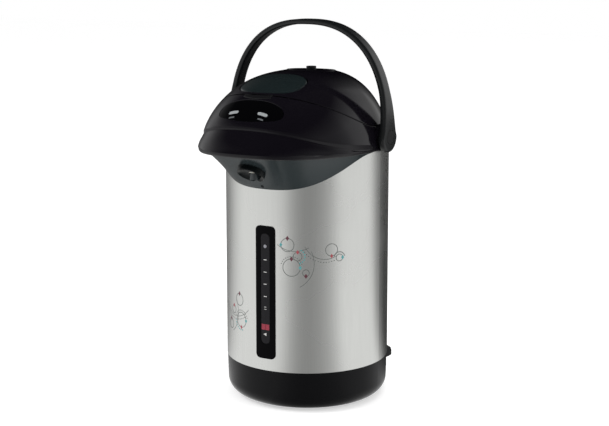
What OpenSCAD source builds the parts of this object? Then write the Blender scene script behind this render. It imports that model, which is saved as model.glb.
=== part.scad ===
// Electric thermo pot: an air-pump hot water dispenser with a bail handle.
// Millimetres, +Z up. The origin is the centre of the rest face, on the pot's axis.
// The spout faces -Y and the handle pivots lie on +X and -X.

/* [Body] */
// Outer radius of the steel body shell
body_r = 82; // [78:0.5:88]
// Wall of the steel body shell
steel_wall = 0.8; // [0.5:0.1:1.2]
// Height of the joint between the black base and the steel shell
base_top = 41; // [36:1:48]
// Height at which the head sits on the steel shell
rim_z = 254; // [244:1:264]

/* [Base] */
// Wall of the moulded base cover
base_wall = 2.5; // [2:0.1:3.5]
// Radius of the rounded lower edge of the base
base_fillet = 15; // [12:1:18]
// How far the base stands inside the steel shell at its top
base_step = 1; // [0.5:0.1:2]
// Radius of the turntable that the pot swivels on
turntable_r = 58; // [54:0.5:62]
// Thickness of the turntable
turntable_t = 5; // [4:0.5:8]
// Radius of the swivel spindle
spindle_r = 7; // [5:0.5:9]
// Height of the rubber ring under the turntable
grip_t = 2.5; // [2:0.1:3]
// Width of the rubber ring under the turntable
grip_w = 9; // [6:0.5:12]

/* [Head] */
// How far the head's rim stands out past the steel
head_over = 1; // [0.5:0.1:3]
// Reach of the nose in front of the steel, at the rim
nose_reach = 56; // [46:1:64]
// Height of the lid's crest above the head's rim
crown_h = 76; // [66:1:88]
// Height of the upright band at the tip of the nose
band_h = 24.5; // [18:0.5:30]
// Wall of the head and lid mouldings
head_wall = 2.4; // [1.8:0.1:3]
// Height of the lid seam above the rim, at the sides and the back
seam_up = 23; // [20:1:28]
// How much the lid seam rises towards the front
seam_rise = 35.5; // [28:0.5:38]
// Gap between the lid and the hood along the seam
seam_gap = 0.6; // [0.4:0.1:1]

/* [Chin and spout] */
// How far the chin's lower lip hangs below the rim at the front
chin_drop = 33; // [26:0.5:40]
// Wall of the chin cover
chin_wall = 2.2; // [1.6:0.1:3]
// Radius of the bowl round the spout
bowl_r = 13.5; // [11:0.5:15]
// Outer radius of the spout nozzle
nozzle_r = 4.5; // [3.5:0.25:4.5]

/* [Handle] */
// Height of the handle pivots above the rim
pivot_up = 13; // [12.6:0.2:16]
// How far the outer faces of the handle lugs stand out past the steel
lug_out = 9; // [8:0.5:12]
// Radius of the rounded lugs
lug_r = 15; // [12:0.5:17]
// Rise of the bail above its pivots, to its outer face
bail_h = 112.5; // [104:0.5:120]
// Width of the bail strap
strap_w = 15.5; // [12:0.5:20]
// Thickness of the bail strap at its top
strap_t = 5.2; // [4:0.1:7]
// Thickness of the handle lugs
lug_t = 7; // [6:0.5:8]
// Radius of the pivot pins
pin_r = 3; // [2.5:0.1:4]

/* [Push plate and dial] */
// Half width of the push plate
plate_hx = 32.5; // [28:0.5:34]
// Half depth of the push plate
plate_hy = 24; // [20:0.5:25]
// Distance of the push plate's middle inside the steel's front
plate_in = 16.5; // [15:0.5:18]
// Travel of the push plate
plate_travel = 12; // [8:0.5:14]
// Gap round the push plate
plate_gap = 0.6; // [0.4:0.1:1]
// Radius of the lock dial
dial_r = 22.5; // [18:0.5:24]
// Distance of the dial behind the axis
dial_y = 8; // [6:0.5:12]
// Height of the pointer on the dial
pointer_h = 7; // [5:0.5:9]

/* [Gauge] */
// Width of the gauge panel
gauge_w = 21.5; // [18:0.5:26]
// Height of the foot of the gauge panel
gauge_z0 = 53; // [50:1:60]
// Height of the top of the gauge panel
gauge_z1 = 185; // [170:1:195]
// Width of the gauge window
window_w = 10; // [8:0.5:12]
// How far the gauge panel stands proud of the steel
gauge_proud = 0.9; // [0.6:0.1:1.4]
// Outer radius of the gauge tube
tube_r = 4.5; // [4:0.25:4.5]
// Wall of the gauge tube
tube_wall = 1; // [0.8:0.1:1.4]

/* [Vessel] */
// Room between the vessel and the outer face of the steel
vessel_room = 13.5; // [13.5:0.5:18]
// Wall of the inner vessel
vessel_wall = 1; // [0.6:0.1:1.5]
// Height of the vessel's floor
vessel_z = 54; // [54:1:58]
// How much smaller the radius of the mouth is than the vessel's
neck_in = 11.5; // [9:0.5:16]

/* [Power inlet] */
// Angle of the inlet round from the front, towards +X
inlet_az = 140; // [125:1:160]
// Width of the inlet housing
inlet_w = 36; // [30:1:42]
// Height of the foot of the inlet housing
inlet_z0 = 19.5; // [17:0.5:21]
// Height of the top of the inlet housing
inlet_z1 = 40.5; // [37:0.5:40.5]
// How far the inlet hood stands out past the steel
inlet_proud = 6; // [4:0.5:10]

/* [Hidden] */
$fn = 96;

head_a = body_r + head_over;
nose = body_r + nose_reach;
crest_z = rim_z + crown_h;
seam_z = rim_z + seam_up;
chin_z = rim_z - chin_drop;
pivot_z = rim_z + pivot_up;
lug_x = body_r + lug_out;
plate_y = body_r - plate_in;
vessel_r = body_r - vessel_room;
mouth_r = vessel_r - neck_in;

// Clearances: a touching fit inside one body, and a running gap between two bodies
seat = 0.05;
run = 0.3;
pin_play = 0.06;

// ---- Head surface ---------------------------------------------------------------
// The head is one surface. The hood below the seam and the lid above it are both cut
// from it, and so are the push plate and the control panel, so they all stay flush.
// t runs round the head from 0 at the nose, and p runs up from the crease to the crest.
steps = 72;
nose_n = 2.46;       // bluntness of the nose seen from above
nose_rise = 3.6;     // how much the rim rises to the nose
lip_h = 3;           // height of the band behind the nose
nose_lean = 0.11;    // share by which the band leans back at the nose
crown_y = 4;         // the crest lies this far behind the axis
side_round = [2.8, 1.6];   // outline and rise exponents of the dome at the sides
front_round = [3.0, 1.32]; // the same at the nose
seam_turn = 1.15;    // how late the seam starts to rise

function spow(v, e) = sign(v) * pow(abs(v), e);
function share(t) = max(0, spow(cos(t), 2 / nose_n));
function mix(a, b, k) = a + (b - a) * k;
function rim_x(t, w) = (head_a - w) * (cos(t) > 0 ? spow(sin(t), 2 / nose_n) : sin(t));
function rim_y(t, w) = cos(t) > 0 ? -(nose - w) * share(t) : -(head_a - w) * cos(t);
function rim_h(t) = rim_z + nose_rise * pow(share(t), 1.8);
function crease_h(t) = rim_h(t) + lip_h + (band_h - lip_h) * pow(share(t), 2.1);
function crease_y(t, w) = rim_y(t, w) * (1 - nose_lean * sqrt(share(t)));
function dome(t, p, w) =
    let (
        k = share(t),
        out = pow(cos(p), 2 / mix(side_round[0], front_round[0], k)),
        up = pow(sin(p), 2 / mix(side_round[1], front_round[1], k)),
        y = crease_y(t, w),
        z = crease_h(t)
    )
    [rim_x(t, w) * out, (y - crown_y) * out + crown_y, z + (crest_z - w - z) * up];
// Direction of a meridian seen from the crest, 0 at the nose
function bearing(t) = abs(atan2(rim_x(t, 0), crown_y - crease_y(t, 0)));
function seam_h(t) =
    seam_z + seam_rise * (1 + cos(180 * pow(min(1, bearing(t) / 90), seam_turn))) / 2;
function seam_p(t, lift) =
    let (
        k = (seam_h(t) + lift - crease_h(t)) / (crest_z - crease_h(t)),
        rise = mix(side_round[1], front_round[1], share(t))
    )
    asin(pow(k, rise / 2));
function ring_t(i) = i * 360 / steps;

// Height of the head surface over a point of the plan, by halving the turn t
function turn_at(m, lo, hi, n) =
    n == 0 ? (lo + hi) / 2
    : let (mid = (lo + hi) / 2)
        bearing(mid) < m ? turn_at(m, mid, hi, n - 1) : turn_at(m, lo, mid, n - 1);
function surface_z(x, y, w = 0) =
    let (
        t = turn_at(abs(atan2(x, crown_y - y)), 0, 180, 18),
        reach = norm([rim_x(t, w), crease_y(t, w) - crown_y]),
        out = min(1, norm([x, y - crown_y]) / reach),
        k = share(t),
        p = acos(pow(out, mix(side_round[0], front_round[0], k) / 2)),
        up = pow(sin(p), 2 / mix(side_round[1], front_round[1], k))
    )
    crease_h(t) + (crest_z - w - crease_h(t)) * up;

// Skins closed rings of equal length; a closed band also joins the last to the first
module skin(rings, closed = true) {
    n = len(rings[0]);
    m = len(rings);
    walls = [for (j = [0 : closed ? m - 1 : m - 2]) for (i = [0 : n - 1])
        let (a = j * n + i, b = j * n + (i + 1) % n,
             c = ((j + 1) % m) * n + (i + 1) % n, d = ((j + 1) % m) * n + i)
        each [[a, c, b], [a, d, c]]];
    caps = closed ? [] : [[for (i = [0 : n - 1]) i], [for (i = [n - 1 : -1 : 0]) (m - 1) * n + i]];
    polyhedron([for (r = rings) each r], concat(walls, caps), convexity = 8);
}

// A plate that follows the head surface: an outline in plan, from depth hi to depth lo
module surface_patch(outline, hi, lo, centre, rows = 4) {
    n = len(outline);
    function at(i, j) = [for (k = [0, 1]) mix(centre[k], outline[i][k], j / rows)];
    tops = [for (j = [rows : -1 : 1]) [for (i = [0 : n - 1])
        let (q = at(i, j)) [q[0], q[1], surface_z(q[0], q[1]) - hi]]];
    feet = [for (j = [1 : rows]) [for (i = [0 : n - 1])
        let (q = at(i, j)) [q[0], q[1], surface_z(q[0], q[1]) - lo]]];
    pts = [for (r = concat(feet, tops)) each r];
    m = 2 * rows;
    foot = len(pts);
    mid = surface_z(centre[0], centre[1]);
    faces = concat(
        [for (j = [0 : m - 2]) for (i = [0 : n - 1])
            let (a = j * n + i, b = j * n + (i + 1) % n, c = (j + 1) * n + (i + 1) % n,
                 d = (j + 1) * n + i) each [[a, c, b], [a, d, c]]],
        [for (i = [0 : n - 1]) [foot, i, (i + 1) % n]],
        [for (i = [0 : n - 1]) [foot + 1, (m - 1) * n + (i + 1) % n, (m - 1) * n + i]]);
    polyhedron(concat(pts, [[centre[0], centre[1], mid - lo], [centre[0], centre[1], mid - hi]]),
        faces, convexity = 6);
}

// ---- Shared places --------------------------------------------------------------
pivot_y = 4;
hinge_y = body_r;
hinge_z = seam_z - 2;
hinge_pin_r = 2;
knuckle_r = 4.6;
knuckle_w = 12;
plate_mid = [0, -plate_y];
dial_floor = crest_z - 9;      // floor of the dial's cup
dial_t = 4;
dial_shaft_r = 4;
cup_wall = 2;
flange_z = rim_z + 2;          // top of the vessel's flange
flange_r = mouth_r + 7;
flange_t = 1.2;
neck_h = 10;
tube_y = -(vessel_r + tube_r + 1.7);
tube_z0 = vessel_z + 2;
tube_z1 = rim_z - 18;
lid_floor = flange_z + 3;      // underside of the lid's inner tub
tub_r = flange_r + 2;
tub_wall = 2;
gasket_in = mouth_r + 0.5;
gasket_out = gasket_in + 5;
bellows_y = tub_wall + 20 - tub_r;
bellows_r = 18;
bellows_head = crest_z - 30;
post_r = 4;
screw_r = 1.5;
sleeve = 1.2;      // wall of the elbows round the tube
drain_y = 18.5 - vessel_r;
drain_z = base_top + run + tube_r + sleeve;
spout_y = -body_r - 19;
bowl_y = -body_r - 26;
bowl_z = chin_z + 17.5;
spout_tilt = 34;               // the bowl's axis leans this far forward of straight down
nozzle_foot = chin_z + 12;

function oval(hx, hy, e, c, n = 40) =
    [for (i = [0 : n - 1]) let (a = i * 360 / n)
        [c[0] + hx * spow(cos(a), 2 / e), c[1] + hy * spow(sin(a), 2 / e)]];
plate_square = 2.5;
function plate_outline(grow) =
    oval(plate_hx + grow, plate_hy + grow, plate_square, plate_mid);

// The control panel's plan: an oval bent round the nose
panel_hx = 34.5;
panel_hy = 9.4;
panel_y = -body_r - 27.2;
panel_sag = 3;
function panel_outline(grow) = [for (i = [0 : 39]) let (a = i * 9, x = (panel_hx + grow) * cos(a))
    [x, panel_y + panel_sag * pow(x / panel_hx, 2) + (panel_hy + grow) * spow(sin(a), 0.85)]];
panel_mid = [0, panel_y + 2];
panel_depth = 0.3;     // the panel lies this far below the hood's surface
panel_t = 1.25;
panel_bed = 0.25;      // room for the adhesive under the panel

// ---- Base -----------------------------------------------------------------------
module turntable() color("#1c1b1e") {
    z = grip_t - 0.5;
    difference() {
        union() {
            translate([0, 0, z]) rotate_extrude()
                polygon([[0, 0], [turntable_r - 2, 0], [turntable_r, 2],
                    [turntable_r, turntable_t], [0, turntable_t]]);
            cylinder(r = spindle_r, h = spindle_top);
        }
        translate([0, 0, -1]) rotate_extrude()
            translate([turntable_r - 3 - grip_w, 0]) square([grip_w, 1 + grip_t]);
        translate([0, 0, -1]) cylinder(r = spindle_r - 2.5, h = z + spindle_top);
    }
}
spindle_top = 15;
plate_z = grip_t - 0.5 + turntable_t + 1;   // underside of the bottom plate
plate_t = 2.5;

module grip_ring() color("#2a2a2c") rotate_extrude()
    translate([turntable_r - 3 - grip_w + seat, 0]) square([grip_w - 2 * seat, grip_t - seat]);

module ring_of(n, r, turn = 0)
    for (i = [0 : n - 1]) rotate(turn + i * 360 / n) translate([r, 0, 0]) children();

bottom_screw_r = turntable_r - 6;
rib_t = 2.4;
module bottom_plate() color("#222124") difference() {
    union() {
        translate([0, 0, plate_z]) cylinder(r = bottom_r - run, h = plate_t);
        translate([0, 0, plate_z]) cylinder(r = spindle_r + 4, h = spindle_top - plate_z - 1);
        for (q = board_posts) translate([q[0], q[1], plate_z]) cylinder(r = 3, h = board_z - plate_z);
    }
    translate([0, 0, plate_z - 1]) cylinder(r = spindle_r + pin_play, h = spindle_top);
    ring_of(3, bottom_screw_r, 30) translate([0, 0, plate_z - 1])
        cylinder(r = screw_r + 0.15, h = plate_t + 2);
    for (q = board_posts) translate([q[0], q[1], board_z - 6]) cylinder(r = screw_r, h = 7);
}
bottom_r = turntable_r + 2;   // opening in the base cover, with the turntable inside it

module bottom_screws() color("#8d8f92") ring_of(3, bottom_screw_r, 30) {
    translate([0, 0, plate_z - 0.9]) cylinder(r = 2.8, h = 0.9);
    translate([0, 0, plate_z - 0.9]) cylinder(r = screw_r, h = 12);
}

// A turned shell: vertical wall, a large rounded edge, and a floor with a round opening
// whose raised lip surrounds the turntable and the bottom plate
module base_cover() color("#1f1d21") {
    r = body_r - base_step;
    foot = turntable_r - 1;
    difference() {
        union() {
            rotate_extrude() difference() {
                base_profile(r, foot, 0);
                base_profile(r, foot, base_wall);
                square([bottom_r, 20]);
            }
            rotate_extrude() translate([bottom_r, base_low])
                square([base_wall, plate_z + plate_t + 0.5 - base_low]);
            ring_of(3, bottom_screw_r, 30) translate([0, 0, plate_z + plate_t + seat])
                cylinder(r = post_r, h = 10);
            for (i = [0 : 2]) rotate(30 + i * 120)
                translate([bottom_screw_r, -rib_t / 2, plate_z + plate_t + seat])
                cube([r - base_wall + 0.5 - bottom_screw_r, rib_t, 10]);
        }
        ring_of(3, bottom_screw_r, 30) translate([0, 0, plate_z]) cylinder(r = screw_r, h = 12);
        translate([0, tube_y, base_top]) cylinder(r = tube_r + sleeve + 0.4, h = 20);
        inlet_place() inlet_block(run);
    }
}
base_lip = 6;      // the base runs this far up inside the steel shell
module base_profile(r, foot, w) {
    ri = r - w;
    f = base_fillet - w;
    zc = base_low + base_fillet;
    polygon(concat(
        [[0, base_low + w]],
        [for (a = [0 : 7.5 : 90]) [ri - f + f * sin(a) - (base_fillet - w - f), zc - f * cos(a)]],
        w == 0 ? [[r + base_step * 0.6, base_top - seat],
                  [body_r - steel_wall - seat, base_top - seat],
                  [body_r - steel_wall - seat, base_top + base_lip]]
               : [[ri, base_top - seat], [body_r - steel_wall - w, base_top + base_lip + 1]],
        [[0, base_top + base_lip + (w == 0 ? 0 : 1)]]));
}
base_low = 1.6;       // height of the base cover above the table

// ---- Steel body and gauge ---------------------------------------------------------
module body_shell() color("#b9bab8") difference() {
    translate([0, 0, base_top]) cylinder(r = body_r, h = rim_z - base_top - seat);
    translate([0, 0, base_top - 1]) cylinder(r = body_r - steel_wall, h = rim_z - base_top + 2);
    gauge_slot(gauge_w - 6, slot_z0, slot_z1, 3);
    translate([0, tube_y, elbow_z]) rotate([90, 0, 0]) cylinder(r = tube_r + sleeve + 1, h = 20);
    translate([0, -body_r, chin_screw_z]) rotate([90, 0, 0])
        cylinder(r = screw_r + 0.1, h = 8, center = true);
}
slot_z0 = gauge_z0 + 12;
slot_z1 = gauge_z1 - 4;

// A rounded slot seen from the front, cut or kept through the front wall only
module gauge_slot(w, z0, z1, r) translate([0, -body_r + 6, 0]) rotate([90, 0, 0])
    linear_extrude(height = 12) slot_2d(w, z0, z1, r);
module slot_2d(w, z0, z1, r) {
    translate([-w / 2, z0 + r]) square([w, z1 - z0 - 2 * r]);
    translate([-w / 2 + r, z0]) square([w - 2 * r, z1 - z0]);
    for (x = [-w / 2 + r, w / 2 - r]) for (z = [z0 + r, z1 - r]) translate([x, z]) circle(r = r);
}
module front_skin(r0, r1) difference() {
    translate([0, 0, gauge_z0 - 5]) cylinder(r = r1, h = gauge_z1 - gauge_z0 + 10);
    translate([0, 0, gauge_z0 - 6]) cylinder(r = r0, h = gauge_z1 - gauge_z0 + 12);
}
window_z0 = gauge_z0 + 15;
window_z1 = gauge_z1 - 7.5;
module gauge_panel() color("#0d0d10") difference() {
    intersection() {
        union() {
            front_skin(body_r + seat, body_r + gauge_proud);
            gauge_slot_ring();
        }
        gauge_slot(gauge_w, gauge_z0, gauge_z1, 4.6);
    }
    gauge_slot(window_w, window_z0, window_z1, window_w / 2 - 0.5);
}
// The part of the panel that reaches back through the steel and holds the window
module gauge_slot_ring() intersection() {
    front_skin(body_r - steel_wall - 1.2, body_r + seat + 0.1);
    gauge_slot(gauge_w - 6 - 2 * run, slot_z0 + run, slot_z1 - run, 3 - run);
}
module gauge_window() color("#8fa3ad") intersection() {
    front_skin(body_r - steel_wall - 1, body_r + gauge_proud - 0.35);
    gauge_slot(window_w - 2 * seat, window_z0 + seat, window_z1 - seat, window_w / 2 - 0.55);
}
module gauge_tube() color("#cfdbe0") translate([0, tube_y, tube_z0]) difference() {
    cylinder(r = tube_r, h = tube_z1 - tube_z0);
    translate([0, 0, -1]) cylinder(r = tube_r - tube_wall, h = tube_z1 - tube_z0 + 2);
}

// ---- Water path -------------------------------------------------------------------
// From the vessel's drain forward to the foot of the gauge tube
module outlet_elbow() color("#d8d8d2") {
    low = drain_z;
    r = tube_r + sleeve;
    difference() {
        union() {
            translate([0, drain_y, low]) cylinder(r = r, h = vessel_z - low - seat);
            translate([0, tube_y, low]) cylinder(r = r, h = tube_z0 + 8 - low);
            translate([0, drain_y, low]) rotate([90, 0, 0]) cylinder(r = r, h = drain_y - tube_y);
            for (y = [drain_y, tube_y]) translate([0, y, low]) sphere(r = r, $fn = 48);
        }
        translate([0, drain_y, low]) cylinder(r = tube_r - tube_wall, h = 30);
        translate([0, drain_y, low]) rotate([90, 0, 0])
            cylinder(r = tube_r - tube_wall, h = drain_y - tube_y);
        translate([0, tube_y, low]) cylinder(r = tube_r - tube_wall, h = tube_z0 - low + 1);
        translate([0, tube_y, tube_z0 - seat]) cylinder(r = tube_r + seat, h = 20);
    }
}
// From the top of the gauge tube forward and down to the spout
elbow_z = rim_z - 7;
module delivery_elbow() color("#d8d8d2") {
    r = tube_r + sleeve;
    difference() {
        union() {
            translate([0, tube_y, tube_z1 - 8]) cylinder(r = r, h = elbow_z - tube_z1 + 8);
            translate([0, tube_y, elbow_z]) sphere(r = r, $fn = 48);
            translate([0, tube_y, elbow_z]) rotate([90, 0, 0])
                cylinder(r = r, h = tube_y - spout_y);
            translate([0, spout_y, elbow_z]) sphere(r = r, $fn = 48);
            translate([0, spout_y, elbow_z - 7]) cylinder(r = r, h = 7);
        }
        translate([0, tube_y, tube_z1 - 9]) cylinder(r = tube_r + seat, h = 9 + seat);
        translate([0, tube_y, tube_z1 - 1]) cylinder(r = tube_r - tube_wall, h = elbow_z - tube_z1 + 1);
        translate([0, tube_y, elbow_z]) rotate([90, 0, 0])
            cylinder(r = tube_r - tube_wall, h = tube_y - spout_y);
        translate([0, spout_y, elbow_z - 20]) cylinder(r = nozzle_r - 1.2, h = 20);
        translate([0, spout_y, elbow_z - 20]) cylinder(r = nozzle_r + seat, h = 18);
    }
}

// ---- Vessel and heat ----------------------------------------------------------------
// Three pressings of sheet, welded: the wall, the floor let into its foot, and the neck,
// whose cone stands on the wall's rim
neck_z = flange_z - neck_h;      // top of the cone that draws in to the neck
cone_z = neck_z - 8;             // foot of the cone
module vessel() color("#c4c6c6") translate([0, 0, vessel_z]) difference() {
    cylinder(r = vessel_r, h = cone_z - vessel_z);
    translate([0, 0, -1]) cylinder(r = vessel_r - vessel_wall, h = cone_z - vessel_z + 2);
}
module vessel_floor() color("#c4c6c6") translate([0, 0, vessel_z]) difference() {
    cylinder(r = vessel_r - vessel_wall - seat, h = vessel_wall);
    translate([0, drain_y, -1]) cylinder(r = tube_r - tube_wall, h = 4);
}
module vessel_neck() color("#c4c6c6") rotate_extrude() let (
    w = vessel_wall, z0 = cone_z + seat, top = flange_z - flange_t)
    polygon([[vessel_r - w, z0], [vessel_r, z0], [vessel_r, z0 + w], [mouth_r, neck_z],
        [mouth_r, top], [flange_r, top], [flange_r, flange_z], [mouth_r - w, flange_z],
        [mouth_r - w, neck_z]]);
jacket_t = 5;
jacket_gap = 12;
module insulation_jacket() color("#d9d6cc") difference() {
    translate([0, 0, jacket_z0]) cylinder(r = vessel_r + 0.3 + jacket_t, h = jacket_z1 - jacket_z0);
    translate([0, 0, jacket_z0 - 1]) cylinder(r = vessel_r + 0.3, h = jacket_z1 - jacket_z0 + 2);
    translate([-jacket_gap, -body_r, jacket_z0 - 1])
        cube([2 * jacket_gap, body_r - 40, jacket_z1 - jacket_z0 + 2]);
}
jacket_z0 = vessel_z + 38;
jacket_z1 = flange_z - neck_h - 9;
heater_r = vessel_r - 24.5;
heater_t = 4;
module heater_plate() color("#a7a9ab") difference() {
    translate([0, 0, vessel_z - heater_t - seat]) cylinder(r = heater_r, h = heater_t);
    translate([0, drain_y, vessel_z - heater_t - 1]) cylinder(r = tube_r + sleeve + 1, h = 8);
}
band_z0 = vessel_z + 12;
band_top = band_z0 + 22;
band_gap = 14;
module heater_band() color("#b08d57") difference() {
    translate([0, 0, band_z0]) cylinder(r = vessel_r + seat + 1.6, h = band_top - band_z0);
    translate([0, 0, band_z0 - 1]) cylinder(r = vessel_r + seat, h = band_top - band_z0 + 2);
    translate([-band_gap, -body_r, band_z0 - 1])
        cube([2 * band_gap, body_r - 40, band_top - band_z0 + 2]);
}
thermo_z = vessel_z - heater_t - 2 * seat;
thermo_places = [[-20, 14], [22, -8]];
thermo_r = 8;
thermo_h = 9;
module thermostats() color("#d9d2c2") for (q = thermo_places) translate([q[0], q[1], thermo_z]) {
    translate([0, 0, -thermo_h]) cylinder(r = thermo_r, h = thermo_h);
    translate([0, 0, -1.2]) cylinder(r = thermo_r + 3, h = 1.2);
    for (x = [-1, 1]) translate([x * thermo_r / 2 - 1.5, -0.4, -thermo_h - 6]) cube([3, 0.8, 7]);
}
module thermal_fuse() color("#c9c4b5") translate([-14, -18, thermo_z - 2.6])
    rotate([0, 90, 0]) cylinder(r = 2.5, h = 28);
board_z = 20;
board_t = 1.6;
board_w = 66;
board_d = 36;
board_y = 7;
board_posts = [for (x = [-1, 1]) for (y = [5, board_d - 5]) [x * (board_w / 2 - 5), board_y + y]];
module control_board() color("#2f6b46") {
    difference() {
        translate([-board_w / 2, board_y, board_z + seat]) cube([board_w, board_d, board_t]);
        for (q = board_posts) translate([q[0], q[1], board_z - 1]) cylinder(r = screw_r + 0.2, h = 4);
    }
    top = board_z + seat + board_t;
    translate([-16, 20, top]) cube([18, 15, 13]);
    translate([10, 18, top]) cylinder(r = 5, h = 14);
    translate([-22, 10, top]) cube([14, 6, 8]);
    translate([6, 30, top]) cube([14, 8, 7]);
}
module board_screws() color("#8d8f92") for (q = board_posts)
    translate([q[0], q[1], board_z + board_t + 2 * seat]) {
        cylinder(r = 2.8, h = 1.6);
        translate([0, 0, -6]) cylinder(r = screw_r - 0.05, h = 6);
    }
// Leads from the inlet to the board, and from the board up to the heaters
lead_r = 1.2;
// Runs a lead through points; each section lies level or across X, whichever is named
module lead(pts, across) {
    skin([for (p = pts) [for (k = [0 : 7]) let (c = lead_r * cos(45 * k), s = lead_r * sin(45 * k))
        across ? [p[0], p[1] + c, p[2] + s] : [p[0] - s, p[1] + c, p[2]]]], closed = false);
}
module wiring() color("#a33a2e") {
    top = board_z + board_t;
    for (s = [-4, 4]) let (e = inlet_tail(s))
        lead([[13 + s / 2, 34, top + 7.4], [14 + s / 2, 35, 33], [26 + s, 42, 34],
            [e[0] - 6, e[1] - 4, inlet_mid + 1], e], true);
    lead([[-15, 13, top + 8.2], [-20, 9, 31], [-22, 13, thermo_z - 15.3]], false);
}
function inlet_tail(s) =
    let (r = inlet_in - 1.5, c = [sin(inlet_az), -cos(inlet_az)], e = [cos(inlet_az), sin(inlet_az)])
    [r * c[0] + s * e[0], r * c[1] + s * e[1], inlet_mid];

// ---- Power inlet ---------------------------------------------------------------------
inlet_mid = (inlet_z0 + inlet_z1) / 2;
inlet_in = body_r - 13;       // inner end of the housing
cheek = 3;                    // wall of the hood over the socket
module inlet_place() rotate(inlet_az - 90) children();
// The block's outline, grown by g, standing on +X of its own frame
module inlet_block(g) translate([inlet_in - g, -inlet_w / 2 - g, inlet_z0 - g])
    cube([13 + inlet_proud + 1 + 2 * g, inlet_w + 2 * g, inlet_z1 - inlet_z0 + 2 * g]);
socket_w = 25;
socket_h = 15;
socket_in = body_r - 6;       // floor of the socket
pin_rows = [-7, 0, 7];
blade_r = 1.5;
module power_inlet() color("#17161a") inlet_place() difference() {
    union() {
        intersection() {
            inlet_block(0);
            translate([0, 0, inlet_z0]) cylinder(r = body_r + 1, h = inlet_z1 - inlet_z0);
        }
        rotate([90, 0, 0]) linear_extrude(height = socket_w + 2 * cheek, center = true) let (
            r = body_r, e = inlet_proud, z = inlet_z1)
            polygon([[r - 6, z], [r + e - 4, z], [r + e - 1, z - 2], [r + e, z - 5],
                [r + e, z - 10], [r + e - 3, z - 11.5], [r - 6, z - 14]]);
    }
    translate([socket_in, -socket_w / 2, inlet_mid - socket_h / 2]) cube([30, socket_w, socket_h]);
    for (y = pin_rows) translate([inlet_in - 1, y, inlet_mid]) rotate([0, 90, 0])
        cylinder(r = blade_r, h = 10);
}
module inlet_pins() color("#c9ccd0") inlet_place() for (y = pin_rows)
    translate([inlet_in - 1.5, y, inlet_mid]) rotate([0, 90, 0]) {
        cylinder(r = blade_r - seat / 2, h = 17);
        translate([0, 0, 17]) sphere(r = blade_r - seat / 2, $fn = 24);
    }

// ---- Head ---------------------------------------------------------------------------
// The ring inside the head that carries the vessel by its flange
module shoulder_ring() color("#232226") difference() {
    union() {
        translate([0, 0, rim_z - 8]) cylinder(r = flange_r + 4, h = 8 + 2 - flange_t - seat);
        translate([0, 0, rim_z - 3]) cylinder(r = body_r - steel_wall - run, h = 3);
        translate([0, 0, rim_z - seat]) cylinder(r = head_a - head_wall - 1.4, h = 2.5);
    }
    translate([0, 0, rim_z - 20]) cylinder(r = mouth_r + seat, h = 40);
    translate([0, 0, flange_z - flange_t - seat]) cylinder(r = flange_r + seat, h = 10);
    translate([-tube_r - sleeve - 1, -body_r, rim_z - 20])
        cube([2 * (tube_r + sleeve + 1), body_r + tube_y + tube_r + sleeve + 1, 19.5 + rim_z - elbow_z]);
}

ear_r = 12.5;
ear_root = head_a - 3.6;
ear_x = lug_x - lug_t - run;
module hood() color("#2a262d") difference() {
    union() {
        skin(concat(
            [[for (i = [0 : steps - 1]) let (t = ring_t(i)) [rim_x(t, 0), rim_y(t, 0), rim_h(t)]]],
            [for (j = [0 : 5]) [for (i = [0 : steps - 1]) let (t = ring_t(i))
                dome(t, seam_p(t, 0) * j / 5, 0)]],
            [for (j = [5 : -1 : 0]) [for (i = [0 : steps - 1]) let (t = ring_t(i))
                dome(t, seam_p(t, 0) * j / 5, head_wall)]],
            [[for (i = [0 : steps - 1]) let (t = ring_t(i))
                [rim_x(t, head_wall), rim_y(t, head_wall), rim_h(t)]]]));
        for (s = [-1, 1]) translate([s * ear_root, pivot_y, pivot_z]) rotate([0, s * 90, 0])
            cylinder(r = ear_r, h = ear_x - ear_root);
        for (s = [-1, 1]) translate([s * (knuckle_w + 5.5), hinge_y, hinge_z]) rotate([0, 90, 0])
            cylinder(r = knuckle_r, h = 10, center = true);
        for (s = [-1, 1]) translate([s * boss_at[0], boss_at[1], lamp_z + lamp_t + seat])
            cylinder(r = 3, h = surface_z(boss_at[0], boss_at[1]) - 2 - lamp_z - lamp_t);
        for (s = [-1, 1]) translate([s * (knuckle_w + 5.5) - 5, hinge_y - 5, rim_z + 8])
            cube([10, 5 + knuckle_r, hinge_z - rim_z - 8]);
    }
    for (s = [-1, 1]) translate([s * (head_a - 8), pivot_y, pivot_z]) rotate([0, s * 90, 0])
        cylinder(r = pin_r, h = 40);
    for (s = [-1, 1]) translate([s * lens_x, lens_y, lamp_z]) cylinder(r = lamp_r + 0.5, h = 24);
    translate([-60, hinge_y, hinge_z]) rotate([0, 90, 0]) cylinder(r = hinge_pin_r, h = 120);
    translate([-knuckle_w, hinge_y, hinge_z]) rotate([0, 90, 0])
        cylinder(r = knuckle_r + 0.5, h = 2 * knuckle_w);
    panel_cut();
    translate([0, 0, rim_z + 20]) linear_extrude(height = 60) polygon(catch_outline(run));
}
module panel_cut() intersection() {
    translate([0, 0, rim_z + 10]) linear_extrude(height = 70) polygon(panel_outline(0.3));
    surface_patch(panel_outline(2), -3, panel_depth + panel_t + panel_bed, panel_mid);
}
module control_panel() color("#101013") difference() {
    surface_patch(panel_outline(0), panel_depth, panel_depth + panel_t, panel_mid);
    for (s = [-1, 1]) translate([0, 0, rim_z + 20]) linear_extrude(height = 60)
        lens_2d(s, seat);
}
lens_x = 15.7;
lens_y = panel_y - 2.5;
lens_w = 10.5;
lens_d = 2.4;
module lens_2d(s, g) translate([s * lens_x - lens_w / 2 - g, lens_y - lens_d / 2 - g])
    square([lens_w + 2 * g, lens_d + 2 * g]);
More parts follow.
